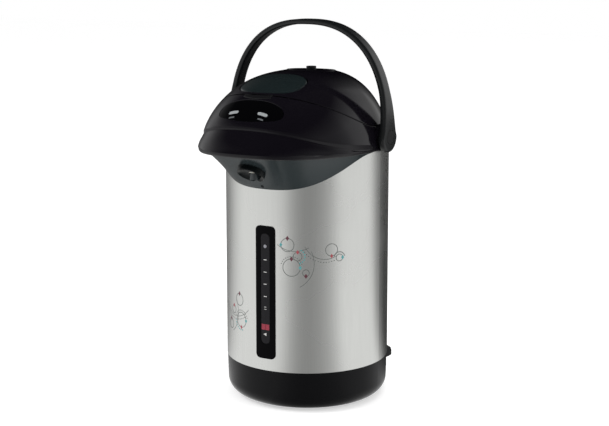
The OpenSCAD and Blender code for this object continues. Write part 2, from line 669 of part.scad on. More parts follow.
module indicator_lenses() color("#dfe6e8") for (s = [-1, 1])
    intersection() {
        translate([0, 0, rim_z + 20]) linear_extrude(height = 60) lens_2d(s, 0);
        surface_patch(panel_outline(1), panel_depth, panel_depth + panel_t, panel_mid);
    }
lamp_z = rim_z + 20;
lamp_w = 54;
lamp_d = 15;
lamp_t = 1.6;
lamp_r = 2.5;
module indicator_board() color("#2f6b46") {
    translate([-lamp_w / 2, lens_y - 4, lamp_z]) cube([lamp_w, lamp_d, lamp_t]);
    for (s = [-1, 1]) translate([s * lens_x, lens_y, lamp_z + 1])
        cylinder(r = lamp_r, h = surface_z(lens_x, lens_y) - 5.5 - lamp_z - 1);
}
boss_at = [lamp_w / 2 - 3.5, lens_y + 6];

// The chin fills the space under the nose and laps the steel with its lower lip
chin_side = rim_z - 3.5;
chin_reach = 76;
chin_end = 86;       // the chin stops at this turn on each side
chin_sections = 44;
chin_rows = 5;
chin_inset = 0.8;
chin_lap = 1.2;      // thickness of the lower lip
function chin_h(m) =
    mix(chin_z, chin_side, (1 - cos(180 * pow(min(1, abs(m) / chin_reach), 1.5))) / 2);
function chin_pt(t, k, w) =
    let (
        x = rim_x(t, chin_inset),
        y = rim_y(t, chin_inset),
        m = atan2(x, -y),
        reach = max(norm([x, y]) - w, body_r + run),
        lip = body_r + run + (w > 0 ? 0 : chin_lap),
        bow = 0.09 * sin(180 * k) * (reach - lip),
        s = mix(reach, lip, k) + bow,
        h = mix(rim_h(t) - 0.3, chin_h(m), k) - bow * 0.6
    )
    [s * sin(m), -s * cos(m), h];
module chin_cover() color("#4a5156") difference() {
    skin([for (i = [0 : chin_sections]) let (t = mix(-chin_end, chin_end, i / chin_sections))
        concat([for (k = [0 : chin_rows]) chin_pt(t, k / chin_rows, 0)],
               [for (k = [chin_rows : -1 : 0]) chin_pt(t, k / chin_rows, chin_wall)])],
        closed = false);
    spout_axis() translate([0, 0, -20]) cylinder(r = bowl_r + seat, h = 40);
    translate([0, -body_r - 12, chin_screw_z]) rotate([90, 0, 0])
        cylinder(r = screw_r + 0.1, h = 40, center = true);
}
chin_screw_z = chin_z + 3.2;
module chin_screw() color("#1a1a1c") translate([0, -body_r + 2.4, chin_screw_z]) rotate([90, 0, 0])
    cylinder(r = screw_r, h = 6.4);
module spout_axis() translate([0, bowl_y, bowl_z]) rotate([-spout_tilt, 0, 0]) children();
bowl_wall = 1.5;
bowl_d = 7;
module spout_bowl() color("#1d2224") difference() {
    spout_axis() difference() {
        translate([0, 0, -1]) cylinder(r = bowl_r, h = bowl_d + 1);
        translate([0, 0, -2]) cylinder(r = bowl_r - bowl_wall, h = bowl_d + 2 - bowl_wall);
    }
    translate([0, spout_y, nozzle_foot - 2]) cylinder(r = tube_r + sleeve + run, h = 30);
    translate([0, tube_y, elbow_z]) rotate([90, 0, 0])
        cylinder(r = tube_r + sleeve + run, h = tube_y - spout_y);
}
module spout_nozzle() color("#16191a") translate([0, spout_y, nozzle_foot]) difference() {
    cylinder(r = nozzle_r, h = elbow_z - 2 - seat - nozzle_foot);
    translate([0, 0, -1]) cylinder(r = nozzle_r - 1.2, h = 40);
}

// ---- Handle ---------------------------------------------------------------------------
bail_n = 2.4;
bail_steps = 36;
flare_h = 46;
// Centre, thickness and width of the strap at angle s, 0 and 180 at the pivots
function bail_t(s) = mix(lug_t, strap_t, pow(sin(s), 0.6));
function bail_w(s) = let (h = bail_h * spow(sin(s), 2 / bail_n))
    mix(2 * lug_r, strap_w, pow(min(1, h / flare_h), 0.55));
function bail_pt(s, d) =
    let (x = (lug_x - d) * spow(cos(s), 2 / bail_n), z = (bail_h - d) * spow(sin(s), 2 / bail_n))
    [x, z];
// A section is a strap with broad chamfers: eight corners from outer face to inner face
function bail_section(s) =
    let (
        w = bail_w(s) / 2, t = bail_t(s), c = min(1.5, t / 3.2),
        a = [w - c, w, w, w - c, -(w - c), -w, -w, -(w - c)],
        d = [0, c, t - c, t, t, t - c, c, 0]
    )
    [for (i = [0 : 7]) let (q = bail_pt(s, d[i])) [q[0], pivot_y + a[i], pivot_z + q[1]]];
module handle() color("#26282a") difference() {
    union() {
        skin([for (i = [0 : bail_steps]) bail_section(180 * i / bail_steps)], closed = false);
        for (s = [-1, 1]) translate([s * (lug_x - lug_t), pivot_y, pivot_z])
            rotate([0, s * 90, 0]) cylinder(r = lug_r, h = lug_t);
    }
    for (s = [-1, 1]) translate([s * (lug_x - lug_t - 5), pivot_y, pivot_z]) rotate([0, s * 90, 0])
        cylinder(r = pin_r + pin_play, h = 20);
    for (s = [-1, 1]) translate([s * (lug_x - 2.5), pivot_y, pivot_z]) rotate([0, s * 90, 0])
        cylinder(r = 7 + run, h = 5);
}
pin_len = 14;
module pivot_screws() color("#1b1b1d") for (s = [-1, 1])
    translate([s * (lug_x - 2.5 + run), pivot_y, pivot_z]) rotate([0, s * 90, 0]) {
        cylinder(r = 7, h = 2.5 - run);
        translate([0, 0, -pin_len]) cylinder(r = pin_r - seat / 2, h = pin_len);
    }

// ---- Lid ------------------------------------------------------------------------------
lid_rows = 8;
// Both faces of the lid meet their crests at a single point
module lid_skin() {
    n = steps;
    m = lid_rows;
    function row(w, j) = [for (i = [0 : n - 1]) let (t = ring_t(i))
        dome(t, mix(seam_p(t, seam_gap), 90, j / (m + 0.45)), w)];
    rows = concat([for (j = [m : -1 : 0]) row(head_wall, j)], [for (j = [0 : m]) row(0, j)]);
    pts = [for (r = rows) each r];
    last = len(rows) - 1;
    top = len(pts);
    polyhedron(concat(pts, [[0, crown_y, crest_z - head_wall], [0, crown_y, crest_z]]), concat(
        [for (j = [0 : last - 1]) for (i = [0 : n - 1])
            let (a = j * n + i, b = j * n + (i + 1) % n, c = (j + 1) * n + (i + 1) % n,
                 d = (j + 1) * n + i) each [[a, c, b], [a, d, c]]],
        [for (i = [0 : n - 1]) [top, i, (i + 1) % n]],
        [for (i = [0 : n - 1]) [top + 1, last * n + (i + 1) % n, last * n + i]]), convexity = 8);
}
lid_posts = [[30, 40], [-30, 40], [47, -8], [-47, -8]];
well_depth = 15;
well_wall = 1.2;
module lid_shell() color("#221f26") difference() {
    union() {
        lid_skin();
        surface_patch(plate_outline(plate_gap + well_wall), head_wall / 2, well_depth, plate_mid);
        translate([0, dial_y, dial_floor - cup_wall])
            cylinder(r = dial_r + plate_gap + cup_wall, h = crest_z - 4.2 - dial_floor + cup_wall);
        for (q = lid_posts) translate([q[0], q[1], tub_low])
            cylinder(r = post_r, h = surface_z(q[0], q[1]) - 3 - tub_low);
        translate([-knuckle_w + run, hinge_y, hinge_z]) rotate([0, 90, 0])
            cylinder(r = knuckle_r, h = 2 * (knuckle_w - run));
        translate([-knuckle_w + run, hinge_y - 5.5, hinge_z + 3])
            cube([2 * (knuckle_w - run), 7, 5]);
    }
    translate([0, 0, 270]) linear_extrude(height = 80) polygon(plate_outline(plate_gap));
    translate([0, dial_y, dial_floor]) cylinder(r = dial_r + plate_gap, h = 20);
    translate([0, dial_y, 300]) cylinder(r = dial_shaft_r + pin_play, h = 40);
    for (q = lid_posts) translate([q[0], q[1], tub_low - 1]) cylinder(r = screw_r, h = 14);
    translate([-60, hinge_y, hinge_z]) rotate([0, 90, 0])
        cylinder(r = hinge_pin_r + pin_play, h = 120);
    for (s = [-1, 1]) translate([s * (knuckle_w + 5.5), hinge_y, hinge_z]) rotate([0, 90, 0])
        cylinder(r = knuckle_r + 0.5, h = 11.2, center = true);
}
tub_low = lid_floor + tub_wall + seat;
flange_r1 = body_r - 8;
flange_low = seam_z + 2;
module lid_base() color("#d7d4cb") difference() {
    union() {
        translate([0, 0, lid_floor]) cylinder(r = tub_r, h = flange_low + tub_wall - lid_floor);
        translate([0, 0, flange_low]) cylinder(r = flange_r1, h = tub_wall);
    }
    translate([0, 0, lid_floor + tub_wall]) cylinder(r = tub_r - tub_wall, h = 60);
    translate([0, bellows_y, lid_floor - 1]) cylinder(r = 5, h = 5);
    translate([0, dial_y, lid_floor - 1]) cylinder(r = vent_r - 2, h = 5);
    for (q = lid_posts) translate([q[0], q[1], lid_floor - 1]) cylinder(r = screw_r + 0.2, h = 5);
}
module lid_screws() color("#8d8f92") for (q = lid_posts)
    translate([q[0], q[1], lid_floor - 1.2 - seat]) {
        cylinder(r = 2.8, h = 1.2);
        cylinder(r = screw_r - 0.05, h = 12);
    }
module lid_gasket() color("#c9c6bd") translate([0, 0, flange_z + run]) difference() {
    union() {
        cylinder(r = gasket_out, h = lid_floor - flange_z - run - seat);
    }
    translate([0, 0, -1]) cylinder(r = gasket_in, h = 10);
    translate([0, 0, 0.8]) rotate_extrude() translate([(gasket_in + gasket_out) / 2 - 0.8, 0])
        square([6, 1]);
}
module lid_hinge_pin() color("#b5b7ba") translate([-knuckle_w - 10.4, hinge_y, hinge_z])
    rotate([0, 90, 0]) cylinder(r = hinge_pin_r - seat / 2, h = 2 * (knuckle_w + 10.4));

// The catch: a crescent tab in the hood just in front of the lid
catch_hx = 15;
catch_in = -body_r - 12.4;
catch_out = catch_in - 4;
catch_sag = 2.6;
function catch_outline(g) = let (n = 12) concat(
    [for (i = [0 : n]) let (x = mix(-catch_hx - g, catch_hx + g, i / n))
        [x, catch_out - g + catch_sag * pow(x / catch_hx, 2)]],
    [for (i = [0 : n]) let (x = mix(catch_hx + g, -catch_hx - g, i / n))
        [x, catch_in + g + catch_sag * 0.8 * pow(x / catch_hx, 2)]]);
catch_tail = crest_z - 40;
catch_mid = [0, (catch_in + catch_out) / 2 + 0.5];
module lid_catch() color("#34383a") difference() {
    union() {
        surface_patch(catch_outline(0), -0.5, 2, catch_mid, 2);
        translate([-5, catch_mid[1] - 1, catch_tail])
            cube([10, 2, surface_z(0, catch_mid[1] - 1) - 1 - catch_tail]);
    }
}

// ---- Pump and vent ----------------------------------------------------------------------
module push_plate() color("#3c4a4b") union() {
    surface_patch(plate_outline(0), 0, 3, plate_mid);
    translate([0, stem_y, bellows_head + run]) cylinder(r = 9, h = surface_z(0, stem_y) - 2 - bellows_head - run);
}
stem_y = bellows_y - 9;
fold = 3.6;
module bellows() color("#50565a") translate([0, bellows_y, 0]) rotate_extrude() {
    n = 9;
    z0 = tub_low;
    step = (bellows_head - z0 - 3) / (2 * n);
    polygon(concat(
        [[0, bellows_head], [0, bellows_head - 1.5]],
        [[bellows_r - fold - 1.2, bellows_head - 1.5]],
        [for (i = [2 * n - 1 : -1 : 1])
            [bellows_r - 1.2 - (i % 2 == 0 ? fold : 0), z0 + 1.5 + i * step]],
        [[bellows_r - fold - 1.2, z0], [bellows_r, z0], [bellows_r, z0 + 1.5]],
        [for (i = [1 : 2 * n - 1]) [bellows_r - (i % 2 == 0 ? fold : 0), z0 + 1.5 + i * step]],
        [[bellows_r - fold, bellows_head]]));
}
coil_r = 11;
wire_r = 0.8;
turns = 6;
module return_spring() color("#9a9ca0") translate([0, bellows_y, 0]) {
    z0 = tub_low;
    rise = bellows_head - 3 - z0;
    n = 12 * turns;
    skin([for (i = [0 : n]) let (a = i * 30, z = z0 + wire_r + (rise - 2 * wire_r) * i / n)
        [for (k = [0 : 5]) let (c = coil_r + wire_r * cos(60 * k))
            [c * cos(a), c * sin(a), z - wire_r * sin(60 * k)]]], closed = false);
}
module air_valve() color("#a9a79f") translate([0, bellows_y, lid_floor - 4]) difference() {
    union() {
        cylinder(r = 9, h = 4 - seat);
        cylinder(r = 5 - seat, h = 5.5);
    }
    translate([0, 0, -1]) cylinder(r = 2, h = 4);
    for (a = [0 : 60 : 300]) rotate(a) translate([6.5, 0, -1]) cylinder(r = 1, h = 3);
    translate([0, 0, 3]) cylinder(r = 3.4, h = 4);
}
module lock_dial() color("#2b2e31") translate([0, dial_y, dial_floor + run]) {
    difference() {
        cylinder(r = dial_r, h = dial_t);
        translate([0, 0, dial_t - 1]) difference() {
            cylinder(r = dial_r - 2.5, h = 2);
            translate([0, 0, -1]) cylinder(r = 7, h = 4);
        }
    }
    cylinder(r = 5, h = dial_t + pointer_h);
    translate([-1.6, -dial_r + 6, dial_t - 1.2]) cube([3.2, 18, 2.4]);
    translate([0, 0, -12]) cylinder(r = dial_shaft_r, h = 13);
}
vent_r = 7;
module vent_pipe() color("#c9c6bd") translate([0, dial_y, tub_low]) difference() {
    cylinder(r = vent_r, h = dial_floor - cup_wall - seat - tub_low);
    translate([0, 0, -1]) cylinder(r = vent_r - 2, h = 80);
}

turntable();
grip_ring();
bottom_plate();
bottom_screws();
base_cover();
body_shell();
gauge_panel();
gauge_window();
gauge_tube();
outlet_elbow();
delivery_elbow();
vessel();
vessel_floor();
vessel_neck();
insulation_jacket();
heater_plate();
heater_band();
thermostats();
thermal_fuse();
control_board();
board_screws();
wiring();
power_inlet();
inlet_pins();
shoulder_ring();
hood();
chin_cover();
chin_screw();
spout_bowl();
spout_nozzle();
control_panel();
indicator_lenses();
indicator_board();
handle();
pivot_screws();
lid_shell();
lid_base();
lid_screws();
lid_gasket();
lid_hinge_pin();
lid_catch();
push_plate();
bellows();
return_spring();
air_valve();
lock_dial();
vent_pipe();
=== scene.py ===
import math
import bmesh
import bpy
import numpy as np
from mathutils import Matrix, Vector
from mathutils.bvhtree import BVHTree


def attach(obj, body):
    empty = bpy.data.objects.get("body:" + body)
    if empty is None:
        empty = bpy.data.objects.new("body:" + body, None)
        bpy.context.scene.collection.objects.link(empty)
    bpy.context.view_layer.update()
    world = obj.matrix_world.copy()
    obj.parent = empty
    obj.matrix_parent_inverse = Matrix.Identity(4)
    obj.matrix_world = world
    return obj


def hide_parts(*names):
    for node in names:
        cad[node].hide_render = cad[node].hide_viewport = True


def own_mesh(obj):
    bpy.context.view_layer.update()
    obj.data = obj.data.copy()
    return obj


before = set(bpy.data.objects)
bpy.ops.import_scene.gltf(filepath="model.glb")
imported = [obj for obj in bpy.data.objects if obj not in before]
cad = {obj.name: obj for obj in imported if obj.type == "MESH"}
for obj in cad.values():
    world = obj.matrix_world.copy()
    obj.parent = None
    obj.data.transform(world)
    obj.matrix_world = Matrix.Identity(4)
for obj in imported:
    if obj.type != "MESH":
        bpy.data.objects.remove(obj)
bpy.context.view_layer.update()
scene = bpy.context.scene
scene.view_settings.view_transform = "Standard"

# ---- Camera, floor and light ---------------------------------------------------------
# The pot stands on white paper, lit softly from the front left, the right and above.
# The camera looks a little down on it, and a small shift keeps its sides nearly parallel.
LOOK_DOWN, LOOK_ROUND = 9.17, 29.66     # degrees below level, and round from the nose
lens = bpy.data.cameras.new("camera")
lens.sensor_width = 36.0
lens.lens = 79.32
lens.shift_y = -0.07
camera = bpy.data.objects.new("camera", lens)
camera.location = (0.6587, -1.1624, 0.4432)
camera.rotation_euler = (math.radians(90 - LOOK_DOWN), 0, math.radians(LOOK_ROUND))
scene.collection.objects.link(camera)
scene.camera = camera


def colour(code):
    """An sRGB hex colour as linear RGBA."""
    parts = [int(code[i:i + 2], 16) / 255 for i in (1, 3, 5)]
    return (*[v / 12.92 if v < 0.04045 else ((v + 0.055) / 1.055) ** 2.4 for v in parts], 1)


def add(tree, kind, ins=None, **settings):
    """Adds a node, sets it, and links or fills its inputs."""
    made = tree.nodes.new(kind)
    for key, value in settings.items():
        setattr(made, key, value)
    for key, value in (ins or {}).items():
        if isinstance(value, bpy.types.NodeSocket):
            tree.links.new(value, made.inputs[key])
        else:
            made.inputs[key].default_value = value
    return made


def material(name, **values):
    """A named material with its shader's uniform values, and the tree to add detail to."""
    made = bpy.data.materials.new(name)
    made.use_nodes = True
    shader = made.node_tree.nodes["Principled BSDF"]
    for key, value in values.items():
        shader.inputs[key.replace("_", " ")].default_value = value
    return made, made.node_tree, shader


def dress(obj, finish):
    """Gives a whole piece one material."""
    obj.data.materials.clear()
    obj.data.materials.append(finish)


# What the head and handle mirror: dark, but for a tall soft box on each side. Each pair
# is a share of a turn round the pot and a level of light.
BOXES = [(0.0, 0.3), (0.12, 0.5), (0.24, 1.0), (0.31, 0.9), (0.36, 0.0), (0.43, 0.0),
    (0.5, 0.0), (0.545, 2.2), (0.59, 2.0), (0.64, 0.4), (0.72, 0.6), (0.80, 0.2), (0.9, 0.1),
    (1.0, 0.3)]
BOX_FADE, BOX_END, OVERHEAD = 0.36, 0.68, 0.03   # the boxes end going up, and it is dark above
AMBIENT = 0.62
# What the steel, base and chin mirror, from the floor round them, in the same pairs.
WALLS = [(0.0, 0.8), (0.15, 1.3), (0.25, 0.65), (0.31, 0.25), (0.45, 0.1), (0.54, 0.03),
    (0.62, 0.1), (0.705, 2.3), (0.77, 1.2), (0.84, 0.5), (0.92, 0.3), (0.965, 0.45), (1.0, 0.8)]
FLOOR, FLOOR_GLOW = 6.0, 0.52           # half its side in metres, and what lifts it to white


def ring_of_light(tree, place, levels):
    """A colour ramp round the upright axis, from where a ray or a point lies."""
    turn = add(tree, "ShaderNodeMath", {0: place.outputs[0], 1: place.outputs[1]},
        operation="ARCTAN2")
    share = add(tree, "ShaderNodeMapRange", {0: turn.outputs[0], 1: -math.pi, 2: math.pi,
        3: 0, 4: 1})
    ring = add(tree, "ShaderNodeValToRGB", {0: share.outputs[0]})
    ramp = ring.color_ramp
    ramp.interpolation = "B_SPLINE"
    while len(ramp.elements) > 1:
        ramp.elements.remove(ramp.elements[-1])
    ramp.elements[0].position, ramp.elements[0].color = 0, (*[levels[0][1]] * 3, 1)
    for spot, level in levels[1:]:
        ramp.elements.new(spot).color = (level, level, level, 1)
    return ring


world = bpy.data.worlds.new("studio")
scene.world = world
world.use_nodes = True
sky = world.node_tree
sky.nodes.clear()
ray = add(sky, "ShaderNodeLightPath")
seen = add(sky, "ShaderNodeMath", {0: ray.outputs["Is Camera Ray"],
    1: ray.outputs["Is Transmission Ray"]}, operation="MAXIMUM")
place = add(sky, "ShaderNodeSeparateXYZ", {0: add(sky, "ShaderNodeTexCoord").outputs["Generated"]})
boxes = ring_of_light(sky, place, BOXES)
high = add(sky, "ShaderNodeMapRange", {0: place.outputs[2], 1: BOX_FADE, 2: BOX_END, 3: 1,
    4: OVERHEAD})
wall = add(sky, "ShaderNodeMix", {0: high.outputs[0], 6: (0, 0, 0, 1), 7: boxes.outputs[0]},
    data_type="RGBA")
mirrored = add(sky, "ShaderNodeMix", {0: ray.outputs["Is Glossy Ray"],
    6: (AMBIENT, AMBIENT, AMBIENT, 1), 7: wall.outputs[2]}, data_type="RGBA")
shown = add(sky, "ShaderNodeMix", {0: seen.outputs[0], 6: mirrored.outputs[2],
    7: (1, 1, 1, 1)}, data_type="RGBA")
add(sky, "ShaderNodeOutputWorld", {0: add(sky, "ShaderNodeBackground",
    {0: shown.outputs[2], 1: 1.0}).outputs[0]})

sweep = bpy.data.meshes.new("floor")
sweep.from_pydata([(x * FLOOR, y * FLOOR, 0) for x, y in ((-1, -1), (1, -1), (1, 1), (-1, 1))],
    [], [(0, 1, 2, 3)])
floor = bpy.data.objects.new("floor", sweep)
scene.collection.objects.link(floor)
# Matt paper, white to the eye and lit for what mirrors it.
white_paper, tree, shader = material("white paper floor", Roughness=0.9)
shader.inputs["Base Color"].default_value = (0.8, 0.8, 0.8, 1)
ray = add(tree, "ShaderNodeLightPath")
spot = add(tree, "ShaderNodeSeparateXYZ", {0: add(tree, "ShaderNodeTexCoord").outputs["Object"]})
walls = ring_of_light(tree, spot, WALLS)
bright = add(tree, "ShaderNodeAddShader", {0: shader.outputs[0], 1: add(tree,
    "ShaderNodeEmission", {0: (1, 1, 1, 1), 1: FLOOR_GLOW}).outputs[0]})
shown = add(tree, "ShaderNodeMixShader", {0: ray.outputs["Is Camera Ray"],
    1: shader.outputs[0], 2: bright.outputs[0]})
add(tree, "ShaderNodeOutputMaterial", {0: add(tree, "ShaderNodeMixShader", {
    0: ray.outputs["Is Glossy Ray"], 1: shown.outputs[0], 2: add(tree, "ShaderNodeEmission",
    {0: walls.outputs[0], 1: 1.0}).outputs[0]}).outputs[0]})
tree.nodes.remove(tree.nodes["Material Output"])
dress(floor, white_paper)


def lamp(name, place, target, size, power):
    """A soft rectangular lamp, aimed at a point, that shows in no reflection."""
    light = bpy.data.lights.new(name, "AREA")
    light.shape, light.size, light.size_y, light.energy = "RECTANGLE", size[0], size[1], power
    obj = bpy.data.objects.new(name, light)
    obj.location = place
    obj.rotation_euler = (Vector(target) - Vector(place)).to_track_quat("-Z", "Y").to_euler()
    obj.visible_glossy = False
    scene.collection.objects.link(obj)


MIDDLE = (0, 0, 0.2)
lamp("key lamp", (-1.2, -1.3, 1.7), MIDDLE, (1.2, 1.2), 22)
lamp("side lamp", (1.9, -0.2, 0.9), MIDDLE, (0.6, 1.6), 9)
lamp("top lamp", (0.2, 0.6, 2.0), MIDDLE, (1.4, 0.9), 12)


# ---- Foot and base -------------------------------------------------------------------
# The pot turns on a black polypropylene disc with a rubber ring pressed into its
# underside. The base is a polished black moulding with three screws up through its plate.


def moulding(name, code, roughness, grain, depth, **values):
    """Moulded plastic: its tool's grain, in millimetres, in the bump, and uneven gloss.

    The gloss and the tone drift over about 45 mm."""
    made, tree, shader = material(name, **values)
    place = add(tree, "ShaderNodeTexCoord").outputs["Object"]
    fine = add(tree, "ShaderNodeTexNoise", {"Vector": place, "Scale": 1000 / grain, "Detail": 3.0})
    broad = add(tree, "ShaderNodeTexNoise", {"Vector": place, "Scale": 22.0, "Detail": 4.0})
    gloss = add(tree, "ShaderNodeMapRange", {0: broad.outputs[0], 1: 0.3, 2: 0.7,
        3: roughness * 0.8, 4: roughness * 1.25})
    tone = colour(code)
    tint = add(tree, "ShaderNodeMix", {0: broad.outputs[0], 6: tone,
        7: (*[v * 1.18 for v in tone[:3]], 1)}, data_type="RGBA")
    bump = add(tree, "ShaderNodeBump", {"Height": fine.outputs[0], "Strength": 0.5,
        "Distance": depth / 1000})
    tree.links.new(tint.outputs[2], shader.inputs["Base Color"])
    tree.links.new(gloss.outputs[0], shader.inputs["Roughness"])
    tree.links.new(bump.outputs[0], shader.inputs["Normal"])
    return made


# Polished ABS, nearly black with a little violet: sharp reflections over a dark body.
black_gloss = moulding("polished black ABS", "#0d0b10", 0.10, 6.0, 0.02,
    Specular_IOR_Level=0.2)
# Polypropylene with a fine spark-eroded grain: black, with a soft grey sheen.
black_satin = moulding("satin black polypropylene", "#101012", 0.42, 0.8, 0.05,
    Specular_IOR_Level=0.3)
# Moulded synthetic rubber, matt and a little dusty.
rubber = moulding("black rubber", "#1b1b1c", 0.82, 0.5, 0.06)
for node in ("turntable", "bottom_plate"):
    dress(cad[node], black_satin)
dress(cad["grip_ring"], rubber)
# Polished polypropylene, softer in its gloss than the head.
black_base = moulding("polished black polypropylene", "#0a0a0c", 0.2, 6.0, 0.02,
    Specular_IOR_Level=0.12)
dress(cad["base_cover"], black_base)


def mottled(name, scale, detail, dark, light, dull=None, bump=None, **values):
    """A finish mottled by one noise: its colour between two, and its gloss if dull gives two.

    scale counts the mottles in a metre, so that 900 makes them 1.1 mm across, and bump is
    the strength and the depth in metres of the unevenness, where it has any."""
    made, tree, shader = material(name, **values)
    noise = add(tree, "ShaderNodeTexNoise", {"Vector": add(tree, "ShaderNodeTexCoord").outputs[
        "Object"], "Scale": scale, "Detail": detail})
    tone = add(tree, "ShaderNodeMix", {0: noise.outputs[0], 6: colour(dark), 7: colour(light)},
        data_type="RGBA")
    tree.links.new(tone.outputs[2], shader.inputs["Base Color"])
    if dull:
        gloss = add(tree, "ShaderNodeMapRange", {0: noise.outputs[0], 3: dull[0], 4: dull[1]})
        tree.links.new(gloss.outputs[0], shader.inputs["Roughness"])
    if bump:
        rough = add(tree, "ShaderNodeBump", {"Height": noise.outputs[0], "Strength": bump[0],
            "Distance": bump[1]})
        tree.links.new(rough.outputs[0], shader.inputs["Normal"])
    return made


# Zinc plated steel screws: bright, faintly mottled.
screw_zinc = mottled("zinc plated steel", 900.0, 4.0, "#b4b6ba", "#d2d3d6", (0.22, 0.4),
    Metallic=1.0)
dress(cad["bottom_screws"], screw_zinc)

# ---- Steel body ----------------------------------------------------------------------
# A seam-welded stainless sleeve, 0.8 mm thick, finished with a fine upright satin
# grain. It stands on the base and the head's rim closes it.
steel, tree, shader = material("satin stainless steel", Metallic=1.0)
# The grain is about 0.15 mm across; it is drawn 0.4 mm across so that it shows. The
# gloss drifts over about 60 mm.
place = add(tree, "ShaderNodeTexCoord").outputs["Object"]
drawn = add(tree, "ShaderNodeMapping", {"Vector": place, "Scale": (2500, 2500, 28)})
grain = add(tree, "ShaderNodeTexNoise", {"Vector": drawn.outputs[0], "Scale": 1.0, "Detail": 3.0})
cloud = add(tree, "ShaderNodeTexNoise", {"Vector": place, "Scale": 16.0, "Detail": 3.0})
tone = add(tree, "ShaderNodeMix", {0: grain.outputs[0], 6: colour("#cbccc9"),
    7: colour("#d9dad7")}, data_type="RGBA")
dull = add(tree, "ShaderNodeMapRange", {0: cloud.outputs[0], 1: 0.3, 2: 0.7, 3: 0.24, 4: 0.30})
bump = add(tree, "ShaderNodeBump", {"Height": grain.outputs[0], "Strength": 0.25,
    "Distance": 0.00001})
tree.links.new(tone.outputs[2], shader.inputs["Base Color"])
tree.links.new(dull.outputs[0], shader.inputs["Roughness"])
tree.links.new(bump.outputs[0], shader.inputs["Normal"])
dress(cad["body_shell"], steel)

# ---- Body print ----------------------------------------------------------------------
# Fine screen-printed ornament baked on the steel, in three loose groups: thin rings and
# long arcs with small lozenges and rows of beads. Each ink stands a few hundredths proud.
STEEL = 82.0        # radius of the steel's face, in millimetres
EDGE = 32           # degrees; a mesh turns smoothly below this and has a crisp edge above
MERGE = 2e-6        # metres within which points are one


def sheet(rows, close_rows=False, close_turns=True):
    """Faces between rows of points, each row a closed loop, as points and quads."""
    rows = np.asarray(rows, float)
    m, n = rows.shape[:2]
    faces = []
    for j in range(m if close_rows else m - 1):
        for i in range(n if close_turns else n - 1):
            a, b = j * n + i, j * n + (i + 1) % n
            k = (j + 1) % m * n
            faces.append((a, b, k + (i + 1) % n, k + i))
    return rows.reshape(-1, 3), faces


def capped(rows):
    """Rows of closed loops whose first and last loops are closed to their middles."""
    points, faces = sheet(rows)
    m, n = len(rows), len(rows[0])
    points = np.vstack([points, np.mean(rows[0], 0), np.mean(rows[-1], 0)])
    faces += [(m * n, (i + 1) % n, i) for i in range(n)]
    faces += [(m * n + 1, (m - 1) * n + i, (m - 1) * n + (i + 1) % n) for i in range(n)]
    return points, faces


def solid(name, *shells, sharp=EDGE):
    """A mesh object from closed shells in millimetres, smooth but for its edges."""
    points, faces, start = [], [], 0
    for shell_points, shell_faces in shells:
        points.append(np.asarray(shell_points, float) / 1000)
        faces += [tuple(i + start for i in f) for f in shell_faces]
        start += len(shell_points)
    mesh = bpy.data.meshes.new(name)
    mesh.from_pydata(np.vstack(points).tolist(), [], faces)
    work = bmesh.new()
    work.from_mesh(mesh)
    bmesh.ops.remove_doubles(work, verts=work.verts, dist=MERGE)
    bmesh.ops.recalc_face_normals(work, faces=work.faces)
    work.to_mesh(mesh)
    work.free()
    mesh.shade_smooth()
    mesh.set_sharp_from_angle(angle=math.radians(sharp))
    obj = bpy.data.objects.new(name, mesh)
    scene.collection.objects.link(obj)
    return obj


def wrapped(u, v, r):
    """Points on the body: u millimetres round from the front, v up, at radius r."""
    return np.stack([r * np.sin(u / STEEL), -r * np.cos(u / STEEL), v + 0 * u], -1)


def stroke(path, width, r=STEEL + 0.03):
    """A printed line along a path of (u, v) points, closed if its ends meet."""
    u, v = np.asarray(path, float).T
    ring = np.hypot(u[0] - u[-1], v[0] - v[-1]) < 1e-6
    if ring:
        u, v = u[:-1], v[:-1]
        du, dv = np.roll(u, -1) - np.roll(u, 1), np.roll(v, -1) - np.roll(v, 1)
    else:
        du, dv = np.gradient(u), np.gradient(v)
    long = np.hypot(du, dv) / (width / 2)
    nu, nv = -dv / long, du / long
    corners = [wrapped(u + nu, v + nv, r - 0.05), wrapped(u + nu, v + nv, r),
        wrapped(u - nu, v - nv, r), wrapped(u - nu, v - nv, r - 0.05)]
    loops = np.stack(corners, 1)
    return sheet(loops, close_rows=True) if ring else capped(loops)


def arc(middle, radius, start, end, count=48):
    """Points (u, v) on an arc, from one angle to another in degrees."""
    a = np.radians(np.linspace(start, end, count))
    return np.column_stack([middle[0] + radius * np.cos(a), middle[1] + radius * np.sin(a)])


# One tree lays flat printed shapes on the body, each upright and facing outwards.
laid = bpy.data.node_groups.new("laid round the body", "GeometryNodeTree")
laid.interface.new_socket("Geometry", in_out="OUTPUT", socket_type="NodeSocketGeometry")
laid.interface.new_socket("Geometry", in_out="INPUT", socket_type="NodeSocketGeometry")
LAID = {}
for key, kind in (("Sides", "Int"), ("Across", "Float"), ("Up", "Float"), ("Proud", "Float"),
        ("Turn", "Float"), ("Ink", "Material")):
    LAID[key] = laid.interface.new_socket(key, in_out="INPUT",
        socket_type="NodeSocket" + kind).identifier
given = add(laid, "NodeGroupInput").outputs
shape = add(laid, "GeometryNodeMeshCylinder", {"Vertices": given["Sides"], "Radius": 1.0,
    "Depth": given["Proud"]})
turned = add(laid, "GeometryNodeTransform", {"Geometry": shape.outputs["Mesh"],
    "Rotation": add(laid, "ShaderNodeCombineXYZ", {2: given["Turn"]}).outputs[0]})
sized = add(laid, "GeometryNodeTransform", {"Geometry": turned.outputs[0], "Scale": add(laid,
    "ShaderNodeCombineXYZ", {0: given["Across"], 1: given["Up"], 2: 1.0}).outputs[0]})
outward = add(laid, "ShaderNodeVectorMath", {0: add(laid, "GeometryNodeInputPosition").outputs[0],
    1: (1.0, 1.0, 0.0)}, operation="MULTIPLY")
